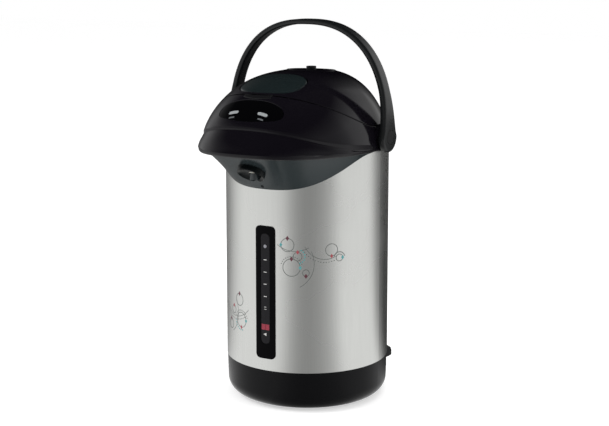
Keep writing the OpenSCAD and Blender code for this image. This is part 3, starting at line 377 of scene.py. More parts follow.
facing = add(laid, "FunctionNodeAlignRotationToVector", {"Vector": outward.outputs[0]}, axis="Z")
upright = add(laid, "FunctionNodeAlignRotationToVector", {"Rotation": facing.outputs[0],
    "Vector": (0.0, 0.0, 1.0)}, axis="Y", pivot_axis="Z")
copies = add(laid, "GeometryNodeInstanceOnPoints", {"Points": given["Geometry"],
    "Instance": sized.outputs[0], "Rotation": upright.outputs[0]})
real = add(laid, "GeometryNodeRealizeInstances", {"Geometry": copies.outputs[0]})
inked = add(laid, "GeometryNodeSetMaterial", {"Geometry": real.outputs[0],
    "Material": given["Ink"]})
add(laid, "NodeGroupOutput", {"Geometry": inked.outputs[0]})


def lay(name, spots, finish, across, up, sides=4, turn=0.0, r=STEEL, proud=0.04):
    """Lays one printed shape at each (u, v) spot; sizes are half sizes in millimetres.

    Each shape is twice as deep as it stands proud, so its other half is in the wall."""
    u, v = np.asarray(spots, float).T
    mesh = bpy.data.meshes.new(name)
    mesh.from_pydata((wrapped(u, v, r) / 1000).tolist(), [], [])
    obj = bpy.data.objects.new(name, mesh)
    scene.collection.objects.link(obj)
    step = obj.modifiers.new("laid", "NODES")
    step.node_group = laid
    for key, value in (("Sides", sides), ("Across", across / 1000), ("Up", up / 1000),
            ("Proud", 2 * proud / 1000), ("Turn", math.radians(turn)), ("Ink", finish)):
        step[LAID[key]] = value
    graph = bpy.context.evaluated_depsgraph_get()
    done = bpy.data.meshes.new_from_object(obj.evaluated_get(graph), depsgraph=graph)
    obj.modifiers.clear()
    obj.data = done
    dress(obj, finish)
    done.polygons.foreach_set("material_index", [0] * len(done.polygons))
    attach(obj, "pot")


def ink(name, code):
    """Baked screen ink: flat and slightly mottled, a little thinner here and there."""
    made, tree, shader = material(name, Roughness=0.45)
    speck = add(tree, "ShaderNodeTexNoise", {"Vector": add(tree, "ShaderNodeTexCoord").outputs[
        "Object"], "Scale": 1400.0, "Detail": 2.0})
    tone = colour(code)
    tree.links.new(add(tree, "ShaderNodeMix", {0: speck.outputs[0], 6: tone,
        7: (*[min(1, v * 1.25 + 0.02) for v in tone[:3]], 1)}, data_type="RGBA").outputs[2],
        shader.inputs["Base Color"])
    return made


maroon, red_ink = ink("maroon ink", "#5b2c38"), ink("red ink", "#9c4048")
teal, grey_ink = ink("teal ink", "#4e9698"), ink("grey ink", "#565b58")
LINE, THIN_LINE = 0.62, 0.5             # widths of the printed lines
# Middle and radius of each ring, in millimetres round from the front and up.
rings = [((23, 168), 6.5), ((33, 157), 4.2), ((27, 146), 8.5), ((41, 141), 3.2), ((66, 163), 6.0),
    ((74, 155), 3.4), ((-36, 106), 6.0), ((-47, 94), 4.0), ((-33, 86), 7.5), ((-54, 78), 5.0)]
sweeps = [arc((23, 150), 26, -62, 28), arc((60, 176), 22, 205, 300), arc((30, 190), 28, 232, 300),
    arc((-44, 118), 30, 222, 318), arc((-62, 92), 24, -58, 34)]
lines = [stroke(arc(middle, radius, 0, 360, 64), LINE) for middle, radius in rings]
lines += [stroke(path, THIN_LINE) for path in sweeps]
print_lines = solid("print_lines", *lines)
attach(print_lines, "pot")
dress(print_lines, grey_ink)
lay("print_lozenges_maroon", [(23, 174.5), (27, 154.5), (41, 137.8), (-36, 112), (-54, 83)],
    maroon, 1.8, 2.5)
lay("print_lozenges_red", [(33, 161.2), (66, 157), (-47, 98), (-33, 78.5)], red_ink,
    1.6, 2.2)
lay("print_lozenges_teal", [(16.5, 168), (35.5, 146), (77.4, 155), (-25.5, 86)], teal,
    1.6, 2.2)
beads = [arc(middle, radius + 2.2, 20, 160, 12) for middle, radius in rings[2::3]]
beads += [arc((60, 176), 25, 210, 290, 14), arc((-44, 118), 33, 228, 300, 16)]
lay("print_beads_grey", np.vstack(beads), grey_ink, 0.55, 0.55, sides=12)
lay("print_beads_teal", np.vstack([arc((33, 157), 7, -70, 60, 7),
    arc((-33, 86), 10.2, 190, 280, 7)]), teal, 0.75, 0.75, sides=12)

# ---- Gauge ---------------------------------------------------------------------------
# A black acrylic strip clipped through the steel, with a smoked window in it and the
# clear water tube behind. The acrylic is a deep black that mirrors little head on.
# Cast acrylic: a deep black, flat and glassy.
acrylic = moulding("black acrylic", "#040405", 0.07, 9.0, 0.01, Specular_IOR_Level=0.04)
dress(cad["gauge_panel"], acrylic)
# Tinted acrylic: the tube behind it shows only as a darker stripe.
smoked, tree, shader = material("smoked acrylic window", Roughness=0.06, IOR=1.49,
    Transmission_Weight=0.3, Specular_IOR_Level=0.08)
shader.inputs["Base Color"].default_value = colour("#131217")
mist = add(tree, "ShaderNodeTexNoise", {"Vector": add(tree, "ShaderNodeTexCoord").outputs[
    "Object"], "Scale": 60.0})
tree.links.new(add(tree, "ShaderNodeMapRange", {0: mist.outputs[0], 3: 0.05, 4: 0.12}).outputs[0],
    shader.inputs["Roughness"])
dress(cad["gauge_window"], smoked)
# Clear acrylic tube, faintly blue.
clear, tree, shader = material("clear tube", Roughness=0.04, IOR=1.49, Transmission_Weight=0.9)
shader.inputs["Base Color"].default_value = colour("#dfe8ea")
mist = add(tree, "ShaderNodeTexNoise", {"Vector": add(tree, "ShaderNodeTexCoord").outputs[
    "Object"], "Scale": 90.0})
tree.links.new(add(tree, "ShaderNodeMapRange", {0: mist.outputs[0], 3: 0.03, 4: 0.1}).outputs[0],
    shader.inputs["Roughness"])
dress(cad["gauge_tube"], clear)
# The scale is printed on the window: a dot, four ticks, a red low-water band with a
# plain arrowhead under it, and a short pair of bars.
white_ink, dot_ink = ink("white ink", "#c9c9c6"), ink("pale grey ink", "#85858b")
low_ink = ink("signal red ink", "#8e1f35")
WINDOW = 82.55      # radius of the window's face
lay("scale_ticks", [(0, z) for z in (151.7, 139.5, 127.5, 115.3)], white_ink, 2.3, 0.55,
    turn=45, r=WINDOW)
lay("scale_dot", [(0, 165)], dot_ink, 1.7, 1.7, sides=24, r=WINDOW)
lay("scale_band", [(-2.2, 84.7), (2.2, 84.7)], low_ink, 2.9, 4.0, turn=45, r=WINDOW)
lay("scale_arrow", [(0, 77.4)], white_ink, 2.2, 1.8, sides=3, turn=180, r=WINDOW)
lay("scale_bars", [(0, 104.7), (0, 102.6)], white_ink, 1.8, 0.3, turn=45, r=WINDOW)

# ---- Water path, vessel and heat -----------------------------------------------------
# Inside the steel: elbows of pale heat-proof plastic, a drawn steel vessel in a felt
# jacket, a cast heater under it and a band heater round it, with their cut-outs.
# Natural polypropylene: a warm pale grey that lets a little light in.
pale = moulding("natural polypropylene", "#cbc7bb", 0.4, 0.9, 0.04, Subsurface_Weight=0.05)
for node in ("outlet_elbow", "delivery_elbow", "thermostats", "thermal_fuse", "lid_base"):
    dress(cad[node], pale)

# Drawn sheet: bright rings of fine scratches run round it.
drawn_steel, tree, shader = material("drawn stainless steel", Metallic=1.0)
scratches = add(tree, "ShaderNodeTexNoise", {"Vector": add(tree, "ShaderNodeMapping", {"Vector":
    add(tree, "ShaderNodeTexCoord").outputs["Object"], "Scale": (30, 30, 1600)}).outputs[0],
    "Scale": 1.0, "Detail": 3.0})
tree.links.new(add(tree, "ShaderNodeMix", {0: scratches.outputs[0], 6: colour("#b9bab9"),
    7: colour("#d3d4d3")}, data_type="RGBA").outputs[2], shader.inputs["Base Color"])
tree.links.new(add(tree, "ShaderNodeMapRange", {0: scratches.outputs[0], 3: 0.2, 4: 0.36}).outputs[0],
    shader.inputs["Roughness"])
for node in ("vessel", "vessel_floor", "vessel_neck"):
    dress(cad[node], drawn_steel)

# Needled glass fibre: pale, dull and woolly.
felt = mottled("glass felt", 700.0, 6.0, "#b9b19f", "#e2dccd", bump=(0.8, 0.0006),
    Roughness=0.95, Sheen_Weight=0.3)
dress(cad["insulation_jacket"], felt)

# Die-cast aluminium: grey, dull and finely pitted.
cast = mottled("cast aluminium", 500.0, 5.0, "#9b9da0", "#c9cacc", (0.4, 0.6), (0.5, 0.0002),
    Metallic=1.0)
dress(cad["heater_plate"], cast)

# Rolled brass over mica: yellow, with soft scuffs.
brass = mottled("mica band with a brass skin", 180.0, 5.0, "#a27e45", "#cfae74", (0.3, 0.5),
    Metallic=1.0)
dress(cad["heater_band"], brass)

# Glass epoxy board under green lacquer: the weave, 0.5 mm, shows faintly through. It is
# drawn 0.8 mm across so that it shows.
board, tree, shader = material("lacquered circuit board", Roughness=0.35, Coat_Weight=0.4)
weave = add(tree, "ShaderNodeTexVoronoi", {"Vector": add(tree, "ShaderNodeTexCoord").outputs[
    "Object"], "Scale": 1200.0}, distance="CHEBYCHEV")
tree.links.new(add(tree, "ShaderNodeMix", {0: weave.outputs[0], 6: colour("#1f5a37"),
    7: colour("#2c7a4b")}, data_type="RGBA").outputs[2], shader.inputs["Base Color"])
dress(cad["control_board"], board)
dress(cad["indicator_board"], board)
dress(cad["board_screws"], screw_zinc)
dress(cad["wiring"], moulding("red silicone sleeve", "#8c2a20", 0.5, 0.7, 0.05))

# ---- Power inlet ---------------------------------------------------------------------
# A black polypropylene socket with a hooded mouth, set through the back of the base.
# Three zinc plated pins stand in it, and the leads inside meet their tails.
dress(cad["power_inlet"], black_satin)
dress(cad["inlet_pins"], screw_zinc)

# ---- Hood ----------------------------------------------------------------------------
# The head's lower half, one polished black ABS moulding with a long nose. It snaps on
# the steel's rim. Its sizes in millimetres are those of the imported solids, but for the
# foot of the nose, which is tucked in under it.
dress(cad["shoulder_ring"], black_satin)
HALF_WIDTH, NOSE, RIM, CREST = 83.0, 138.0, 254.0, 330.0
WALL = 2.4
NOSE_ROUND = 2.46                       # the nose's plan: 2 is an ellipse, more is squarer
RIM_RISE, CREASE_LOW, CREASE_RISE = 3.6, 3, 21.5    # lift at the tip; crease above the rim
CREASE_IN = 0.11                        # the crease lies this share of the reach inside it
OUT, UP = (2.8, 3.0), (1.6, 1.32)       # the dome's roundness, at the sides and at the nose
CROWN = 4                               # the crown's middle lies this far behind the axis
SEAM_LOW, SEAM_RISE, SEAM_ROUND = 277, 35.5, 1.15   # the lid's seam: at the back, and in front
HINGE, PIVOT = (0, 82, 275), (0, CROWN, 267)        # the lid's pin, and the handle's screws
PIN_R, PIN_SIDES = 4.6, 48


def power(v, e):
    """A power that keeps the sign, for rounded squares."""
    return np.sign(v) * np.abs(v) ** e


def blend_to(a, b, k):
    """a at k = 0, b at k = 1."""
    return a + (b - a) * k


def about_crown(x, y):
    """Distance of a point of the plan from the crown's middle."""
    return np.hypot(x, y - CROWN)


def unit(ways):
    """Directions, one a row, each made 1 long."""
    return ways / np.linalg.norm(ways, axis=1)[:, None]


def frontness(t):
    """1 at the tip of the nose, falling to 0 at the sides and behind."""
    return np.maximum(0, power(np.cos(t), 2 / NOSE_ROUND))


def rim_at(t, w):
    """The head's rim at bearing t from the nose, w inside the outer face."""
    s = np.sin(t)
    x = (HALF_WIDTH - w) * np.where(np.cos(t) > 0, power(s, 2 / NOSE_ROUND), s)
    y = np.where(np.cos(t) > 0, -(NOSE - w) * frontness(t), -(HALF_WIDTH - w) * np.cos(t))
    return x, y, RIM + RIM_RISE * frontness(t) ** 1.8


def crease_at(t, w):
    """The crease over the nose's band, where the dome starts."""
    x, y, z = rim_at(t, w)
    k = frontness(t)
    return x, y * (1 - CREASE_IN * np.sqrt(k)), z + CREASE_LOW + CREASE_RISE * k ** 2.1


def dome(t, p, w=0.0):
    """The head's surface: t turns from the nose, p rises from the crease to the crest."""
    k = frontness(t)
    x, y, z = crease_at(t, w)
    out = np.cos(p) ** (2 / blend_to(*OUT, k))
    up = np.sin(p) ** (2 / blend_to(*UP, k))
    return np.stack([x * out, (y - CROWN) * out + CROWN, z + (CREST - w - z) * up], -1)


def bearing(t):
    """The angle at which t lies round the crown, from straight in front."""
    x, y = crease_at(t, 0)[:2]
    return np.abs(np.arctan2(x, CROWN - y))


def seam_rise(t, lift):
    """How far up the dome the seam between hood and lid runs, as an angle p."""
    back = np.minimum(1, bearing(t) / (np.pi / 2)) ** SEAM_ROUND
    seam = SEAM_LOW + SEAM_RISE * (1 + np.cos(np.pi * back)) / 2
    z = crease_at(t, 0)[2]
    share = (seam + lift - z) / (CREST - z)
    return np.arcsin(share ** (blend_to(*UP, frontness(t)) / 2))


def height(x, y):
    """Height of the head's surface over a point of the plan."""
    x, y = np.asarray(x, float), np.asarray(y, float)
    aim = np.abs(np.arctan2(x, CROWN - y))
    low, high = np.zeros_like(aim), np.full_like(aim, np.pi)
    for _ in range(40):
        mid = (low + high) / 2
        less = bearing(mid) < aim
        low, high = np.where(less, mid, low), np.where(less, high, mid)
    cx, cy, cz = crease_at(low, 0)
    out = np.minimum(1, about_crown(x, y) / about_crown(cx, cy))
    k = frontness(low)
    p = np.arccos(out ** (blend_to(*OUT, k) / 2))
    return cz + (CREST - cz) * np.sin(p) ** (2 / blend_to(*UP, k))


ON_FACE, SAME_WAY = 5e-5, 0.94          # metres, and the cosine between two normals


def cut(obj, *tools):
    """Cuts openings in a curved piece, and keeps its smooth shading round them."""
    whole = bmesh.new()
    whole.from_mesh(obj.data)
    bmesh.ops.triangulate(whole, faces=whole.faces)
    before = bpy.data.meshes.new("before")
    whole.to_mesh(before)
    whole.free()
    before.set_sharp_from_angle(angle=math.radians(EDGE))
    spots = [v.co.copy() for v in before.vertices]
    corners = [tuple(f.vertices) for f in before.polygons]
    old_faces = BVHTree.FromPolygons(spots, corners)
    shades = [n.vector.copy() for n in before.corner_normals]
    for tool in tools:
        step = obj.modifiers.new("cut", "BOOLEAN")
        step.operation, step.object, step.solver = "DIFFERENCE", tool, "EXACT"
    graph = bpy.context.evaluated_depsgraph_get()
    done = bpy.data.meshes.new_from_object(obj.evaluated_get(graph), depsgraph=graph)
    obj.modifiers.clear()
    obj.data = done
    for tool in tools:
        bpy.data.objects.remove(tool)
    done.shade_smooth()
    done.set_sharp_from_angle(angle=math.radians(EDGE))
    kept = []
    for face in done.polygons:
        for spot in face.vertices:
            co = done.vertices[spot].co
            near, flat, index, gap = old_faces.find_nearest(co + (face.center - co) * 0.02)
            shade = Vector((0, 0, 0))
            if gap < ON_FACE and flat.dot(face.normal) > SAME_WAY:
                a, b, c = [spots[i] for i in corners[index]]
                whole_area = (b - a).cross(c - a).length or 1e-12
                parts = [(b - near).cross(c - near).length, (c - near).cross(a - near).length,
                    (a - near).cross(b - near).length]
                shade = sum((shades[index * 3 + i] * (parts[i] / whole_area) for i in range(3)),
                    Vector((0, 0, 0))).normalized()
            kept.append(shade)
    done.normals_split_custom_set(kept)
    bpy.data.meshes.remove(before)
    return obj


def joined(obj, *shells):
    """Adds closed shells to a piece that is already cut."""
    extra = solid("extra", *shells)
    with bpy.context.temp_override(active_object=obj, object=obj, selected_objects=[obj, extra],
            selected_editable_objects=[obj, extra]):
        bpy.ops.object.join()
    return obj


def prism(outline, low, high):
    """An upright shell with a flat outline, between two heights."""
    outline = np.asarray(outline, float)
    ends = [np.column_stack([outline, np.full(len(outline), z)]) for z in (low, high)]
    return capped(ends)


def barrel(profile, centre=(0, 0, 0), axis="z", n=96):
    """A turned shell from a closed profile of (radius, height) points."""
    turn = np.linspace(0, 2 * np.pi, n, endpoint=False)
    rows = []
    for r, h in profile:
        ring = np.column_stack([r * np.cos(turn), r * np.sin(turn), np.full(n, h)])
        if axis == "x":
            ring = ring[:, [2, 0, 1]]
        elif axis == "y":
            ring = ring[:, [1, 2, 0]]
        rows.append(ring + centre)
    return capped(rows)


TURNS = np.linspace(0, 2 * np.pi, 288, endpoint=False)
FOOT_IN, BELLY, LEDGE, LIP_R = 1.5, 2.2, 1.2, 0.5    # the band's tuck, swell and ledge; seam's edge
# The nose's band ends in a rounded ledge, and the dome starts this far inside it.
step_in = 1.0 * frontness(TURNS) ** 0.6
cx, cy, cz = crease_at(TURNS, 0)
rx, ry, rz = rim_at(TURNS, FOOT_IN * frontness(TURNS))
reach = about_crown(cx, cy)
inward = np.stack([-cx / reach, -(cy - CROWN) / reach, 0 * cx], -1)
crease = np.stack([cx, cy, cz], -1)
foot = np.stack([rx, ry, rz], -1)
start = np.arccos((1 - step_in / reach) ** (blend_to(*OUT, frontness(TURNS)) / 2))
# The band has a rounded foot, stands nearly upright above it and leans back to a soft ledge.
round_off = blend_to(0.5, 4.0, frontness(TURNS) ** 0.5)[:, None]
rows = [foot + inward * 0.7 * round_off * (1 - np.sin(a)) + round_off * (0, 0, 1 - np.cos(a))
    for a in np.radians([0, 18, 36, 54, 72, 90])]
length = np.linalg.norm(crease - foot, axis=1)[:, None]
up = (crease - foot) / length
soft = np.minimum(LEDGE, length * 0.3)
lean = np.linalg.norm((crease - foot)[:, :2], axis=1)[:, None] / length
for k in np.linspace(0.12, 1, 10):
    rows.append(foot + up * blend_to(round_off, length - soft, k)
        - inward * lean * (round_off * (1 - k) ** 1.5 + BELLY * np.sin(np.pi * k)))
for a in np.radians([22, 45, 68, 90]):
    rows.append(foot + up * (length - soft + soft * np.sin(a))
        + inward * (np.minimum(step_in, soft[:, 0])[:, None] * (1 - np.cos(a))))
for k in (0.125, 0.3):
    rows.append(blend_to(rows[-1], dome(TURNS, start), k))
top = seam_rise(TURNS, 0)
rise = [blend_to(start, top, k) for k in np.linspace(0, 1, 40)]
rows += [dome(TURNS, p) for p in rise[:-1]]
edge = dome(TURNS, top)
lid_way = unit(edge - dome(TURNS, rise[-2]))
in_way = unit(dome(TURNS, top, WALL) - edge)
for a in np.radians([0, 30, 60, 90]):
    rows.append(edge - lid_way * LIP_R * (1 - np.sin(a)) + in_way * LIP_R * (1 - np.cos(a)))
rows += [dome(TURNS, top * k, WALL) for k in np.linspace(1, 0, 14)]
ix, iy = rim_at(TURNS, 1.0 + FOOT_IN * frontness(TURNS) + 0.7 * round_off[:, 0])[:2]
rows.append(np.stack([ix, iy, rz], -1))
hood = solid("hood", sheet(rows, close_rows=True))
# Its ears carry the handle, and two knuckles on webs carry the lid's pin.
shells = []
for s in (-1, 1):
    shells.append(barrel([(12.5, 79.4 * s), (12.5, 83.0 * s), (11.8, 83.7 * s), (0.01, 83.7 * s)],
        PIVOT, "x"))
    shells.append(barrel([(PIN_R, 12.6 * s), (PIN_R, 22.2 * s), (4.3, 22.5 * s)], HINGE, "x",
        PIN_SIDES))
    web = [(12.5 * s, 77), (22.5 * s, 77), (22.5 * s, 86.6), (12.5 * s, 86.6)]
    shells.append(prism(web, 262, 275))


def patch(outline, high, low, centre, soft=0.0, rows=14):
    """A plate cut from the head's surface: high and low are depths below it."""
    outline = np.asarray(outline, float)
    centre = np.asarray(centre, float)
    loops = []

    def loop(share, depth):
        """The outline shrunk to a share of itself, at a depth below the surface."""
        spots = blend_to(centre, outline, share)
        return np.column_stack([spots, height(spots[:, 0], spots[:, 1]) - depth])
    size = np.linalg.norm(outline - centre, axis=1).mean()
    for share in np.linspace(0.04, 1 - soft / size, rows):
        loops.append(loop(share, high))
    for a in np.radians([20, 40, 65, 90]) if soft else []:
        loops.append(loop(1 - soft / size * (1 - np.sin(a)), high + soft * (1 - np.cos(a))))
    for share in np.linspace(1, 0.04, rows):
        loops.append(loop(share, low))
    return capped(loops)


PANEL_X, PANEL_Y, PANEL_AT = 34.5, 9.4, (0, -107.2)  # half sizes, and the middle of its bed
CATCH, CATCH_FRONT, CATCH_BACK, CATCH_AT = 15, -98.4, -94.4, (0, -95.9)


def panel_plan(grow):
    """The control panel's bent oval, grown all round."""
    a = np.linspace(0, 2 * np.pi, 120, endpoint=False)
    x = (PANEL_X + grow) * np.cos(a)
    bend = -109.2 + 3 * (x / PANEL_X) ** 2
    return np.column_stack([x, bend + (PANEL_Y + grow) * power(np.sin(a), 0.85)])


def catch_plan(grow):
    """The catch's crescent, grown all round."""
    x = np.linspace(-CATCH - grow, CATCH + grow, 25)
    front = np.column_stack([x, CATCH_FRONT - grow + 2.6 * (x / CATCH) ** 2])
    back = np.column_stack([x[::-1], CATCH_BACK + grow + 2.08 * (x[::-1] / CATCH) ** 2])
    return np.vstack([front, back])


cut(hood, solid("slot", prism(catch_plan(0.3), 285, 340)),
    solid("recess", patch(panel_plan(0.3), -3, 1.8, PANEL_AT)),
    solid("notch", barrel([(5.1, -12), (5.1, 12)], HINGE, "x", PIN_SIDES)))
joined(hood, *shells)
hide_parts("hood")
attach(hood, "pot")
dress(hood, black_gloss)

# ---- Control panel -------------------------------------------------------------------
# A thin oval of black acrylic, glued into a shallow bed in the hood. Two windows in it
# hold frosted lenses, and lamps on a small board below light them.
LAMP_X, LAMP_Y, BAR_Y = 15.7, -111.7, -115.6


def pill(x, y, half_x, half_y, square):
    """A flat oval of 32 points; the smaller square is, the squarer it is."""
    a = np.linspace(0, 2 * np.pi, 32, endpoint=False)
    return np.column_stack([x + half_x * power(np.cos(a), square),
        y + half_y * power(np.sin(a), square)])


panel = solid("control_panel", patch(panel_plan(0), 0.3, 1.55, PANEL_AT, 0.35))
cutters = [solid("window", prism(pill(LAMP_X * s, LAMP_Y, 5.3, 1.25, 0.5), 270, 330))
    for s in (-1, 1)]
cut(panel, *cutters)
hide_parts("control_panel")
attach(panel, "pot")
dress(panel, acrylic)

# Frosted acrylic, pale grey: partly its own tone, partly painted light for the lamps on the board
# below, which give no light here.
frosted_with_painted_glow = mottled("frosted acrylic with painted glow", 800.0, 2.0, "#85898b", "#a7abad", Roughness=0.35,
    IOR=1.49)
lenses = solid("indicator_lenses", *[patch(pill(LAMP_X * s, LAMP_Y, 5.2, 1.15, 0.5), 0.2, 1.5,
    (LAMP_X * s, LAMP_Y), 0.2, 5) for s in (-1, 1)])
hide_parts("indicator_lenses")
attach(lenses, "pot")
dress(lenses, frosted_with_painted_glow)

# Under each lamp a short pale bar is printed where its word would be.
bars = solid("lamp_bars", *[patch(pill(LAMP_X * s, BAR_Y, 3.0, 0.5, 0.4), 0.24, 0.4,
    (LAMP_X * s, BAR_Y), rows=5) for s in (-1, 1)])
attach(bars, "pot")
dress(bars, ink("dim grey ink", "#55585b"))

# ---- Chin cover ----------------------------------------------------------------------
# A polished dark grey moulding that fills the space under the nose. Its lower lip laps
# the steel, and one black screw holds it.
# Polished ABS: a cold dark grey with soft reflections of the steel under it.
grey_gloss = moulding("polished grey ABS", "#2a3133", 0.2, 5.0, 0.02,
    Specular_IOR_Level=0.2)


CHIN_IN, HOLLOW = 6.6, 0.03             # inside the rim, and how far the chin bows in
LAP, LIP = 82.3, 1.2                    # radius that laps the steel, and the lip's thickness
LIP_LOW, LIP_HIGH, LIP_REACH = 221, 250.5, 76       # its height in front and at LIP_REACH degrees
CHIN_END = 86                           # degrees round from the nose where the cover ends


def chin(t, k, w):
    """The chin at bearing t, from under the rim (k 0) to the lip (k 1), w inside its face.

    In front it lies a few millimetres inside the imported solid, so the spout's bowl, which
    keeps its place, stands out of it."""
    x, y, z = rim_at(t, CHIN_IN)
    m = np.arctan2(x, -y)
    reach = np.maximum(np.hypot(x, y) - w, LAP)
    lip = LAP + (0 if w > 0 else LIP)
    bow = -HOLLOW * np.sin(np.pi * k) * (reach - lip)
    drop = (1 - np.cos(np.pi * np.minimum(1, np.abs(np.degrees(m)) / LIP_REACH) ** 1.5)) / 2
    s = blend_to(reach, lip, k) + bow
    end = np.maximum(0, np.abs(np.degrees(t)) / CHIN_END - 0.8) / 0.2
    h = blend_to(z + 2.6, blend_to(LIP_LOW, LIP_HIGH, drop) + 3.4 * end ** 2, k) - bow * 0.6
    return np.stack([s * np.sin(m), -s * np.cos(m), h], -1)


t = np.radians(np.linspace(-CHIN_END, CHIN_END, 181))
loops = [chin(t, k, 0.0) for k in np.linspace(0, 1, 30)] + [
    chin(t, k, 2.2) for k in np.linspace(1, 0, 12)]
chin_cover = solid("chin_cover", capped(np.stack(loops, 1)))
TILT, BOWL_Y, BOWL_Z, BOWL_R = math.radians(-34), -108, 238.5, 13.5


def tilted(points):
    """Turns a piece made about the spout's upright axis to where the bowl lies."""
    y, z = points[:, 1].copy(), points[:, 2].copy()
    points[:, 1] = y * math.cos(TILT) - z * math.sin(TILT) + BOWL_Y
    points[:, 2] = y * math.sin(TILT) + z * math.cos(TILT) + BOWL_Z
    return points


bore, faces = barrel([(13.55, -20), (13.55, 20)])
cut(chin_cover, solid("bore", (tilted(bore), faces)),
    solid("screw hole", barrel([(1.6, -100), (1.6, -70)], (0, 0, 224.2), "y", 32)))
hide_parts("chin_cover")
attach(chin_cover, "pot")
dress(chin_cover, grey_gloss)
# Blackened steel screws, dull.
black_screw = mottled("blackened steel", 1200.0, 3.0, "#0c0c0d", "#232325", Metallic=0.6,
    Roughness=0.4)
dress(cad["chin_screw"], black_screw)
dress(cad["pivot_screws"], black_screw)
# The bowl round the spout is a smooth dish with a rounded rim, open where the nozzle
# and its elbow come through.
dish = [(12.5 * r, -0.8 + 3.6 * (1 - r ** 2.4)) for r in np.linspace(0.02, 1, 18)]
dish += [(12.7, -0.95), (13.1, -1.0), (13.38, -0.85), (BOWL_R, -0.55), (BOWL_R, 6.4), (12.9, 7.0),
    (0.25, 7.0)]
shell, faces = barrel(dish)
bowl = solid("spout_bowl", (tilted(shell), faces))
cut(bowl, solid("way down", barrel([(4.6, 229), (4.6, 262)], (0, -101, 0), n=64)),
    solid("way back", barrel([(6, -74), (6, -101)], (0, 0, 247), "y", 64)))
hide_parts("spout_bowl")
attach(bowl, "pot")
# Polished ABS, coloured almost black: the shade in the dish is painted into its colour.
dish_painted_shade = moulding("polished ABS darkened as painted shade", "#0b0f10", 0.2, 5.0, 0.02,
    Specular_IOR_Level=0.1)
dress(bowl, dish_painted_shade)
# Satin ABS, coloured lighter than the bowl as a painted highlight for the dish's lit side, so the
# spout's end shows in it.
nozzle_painted_light = moulding("satin ABS lightened as a painted highlight", "#2b3234", 0.3, 0.8, 0.03)
dress(cad["spout_nozzle"], nozzle_painted_light)

# ---- Handle --------------------------------------------------------------------------
# One satin grey-black moulding: a bail strap that flares into two round lugs, each on a
# pivot screw in the hood's ears.
# Satin ABS: dark grey, with a soft broad sheen along its edges.
handle_grey = moulding("satin grey ABS", "#111314", 0.28, 0.9, 0.03,
    Specular_IOR_Level=0.35)


BAIL_X, BAIL_UP, BAIL_ROUND = 91, 112.5, 2.4    # outer half width, height over the pivots
LUG_W, STRAP_W, LUG_T, STRAP_T = 30, 15.5, 7, 5.2    # across and thick, at the lug and on top
FLARE = 46                              # height over the pivots where the flare ends
END = 1e-6                              # radians; the strap's section isn't asked for at 0


def strap(turn, across, depth):
    """Points of the strap at an angle of its arch: across its width, and depth inside it."""
    x = (BAIL_X - depth) * power(np.cos(turn), 2 / BAIL_ROUND)
    z = (BAIL_UP - depth) * power(np.sin(turn), 2 / BAIL_ROUND)
    return np.stack([x, PIVOT[1] + across, PIVOT[2] + z], -1)


def strap_plan(turn):
    """Half the strap's section: distances from its middle line, and depths."""
    rise = BAIL_UP * power(np.sin(turn), 2 / BAIL_ROUND)
    half = blend_to(LUG_W, STRAP_W, min(1, rise / FLARE) ** 0.55) / 2
    thick = blend_to(LUG_T, STRAP_T, np.sin(turn) ** 0.6)
    c = min(2.2, thick / 2.5)
    a = np.radians(np.linspace(0, 90, 6))
    across = [0, (half - c) * 0.5] + list(half - c + c * np.sin(a)) + list(
        half - c + c * np.cos(a)) + [(half - c) * 0.5, 0]
    depth = [0, 0] + list(c - c * np.cos(a)) + list(thick - c + c * np.sin(a)) + [thick, thick]
    return np.array(across), np.array(depth)


loops = []
for turn in np.linspace(0, np.pi, 145):
    across, depth = strap_plan(min(max(turn, END), np.pi - END))
    loops.append(strap(turn, np.concatenate([across, -across[-2:0:-1]]),
        np.concatenate([depth, depth[-2:0:-1]])))
shells = [sheet(loops)]
across, depth = strap_plan(END)
for s in (-1, 1):
    loops = []
    for turn in np.linspace(0, np.pi, 37):
        loops.append(np.stack([s * (BAIL_X - depth), PIVOT[1] + across * np.cos(turn),
            PIVOT[2] - across * np.sin(turn)], -1))
    shells.append(sheet(loops, close_turns=False))
handle = solid("handle", *shells)
cut(handle, *[solid("seat", barrel([(7.3, 88.5 * s), (7.3, 92.5 * s)], PIVOT, "x", 64))
    for s in (-1, 1)])
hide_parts("handle")
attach(handle, "handle")
dress(handle, handle_grey)

# ---- Lid -----------------------------------------------------------------------------
# The head's upper half, a polished black ABS shell that turns on a steel pin at the
# back, screwed to a pale inner tub with a silicone gasket.


PLATE_X, PLATE_Y, PLATE_ROUND, PLATE_AT = 32.5, 24, 2.5, (0, -65.5)
LID_GAP, WELL_GAP = 0.6, 0.8            # over the hood's edge, and round the push plate
DIAL_Y, CUP_R, CUP_FLOOR, CUP_SIDES = 8, 23.1, 321, 144


def plate_plan(grow):
    """The push plate's rounded square, grown all round."""
    a = np.linspace(0, 2 * np.pi, 160, endpoint=False)
    return np.column_stack([(PLATE_X + grow) * power(np.cos(a), 2 / PLATE_ROUND),
        PLATE_AT[1] + (PLATE_Y + grow) * power(np.sin(a), 2 / PLATE_ROUND)])


low = seam_rise(TURNS, LID_GAP)
edge = dome(TURNS, low)
up_way = unit(dome(TURNS, low + 0.03) - edge)
in_way = unit(dome(TURNS, low, WALL) - edge)
rows = [dome(TURNS, blend_to(low, np.pi / 2, k), WALL) for k in (0.94, 0.75, 0.5, 0.25, 0)]
for a in np.radians([90, 60, 30, 0]):
    rows.append(edge + up_way * LIP_R * (1 - np.sin(a)) + in_way * LIP_R * (1 - np.cos(a)))
spread = np.linspace(0, 1, 60) ** 0.9
rows += [dome(TURNS, blend_to(low + 0.012, np.radians(89.0), k)) for k in spread]
lid = solid("lid_shell", capped(rows))
cut(lid, solid("well", prism(plate_plan(WELL_GAP), 270, 350)),
    solid("cup", barrel([(CUP_R, CUP_FLOOR), (CUP_R, 345)], (0, DIAL_Y, 0), n=CUP_SIDES)))
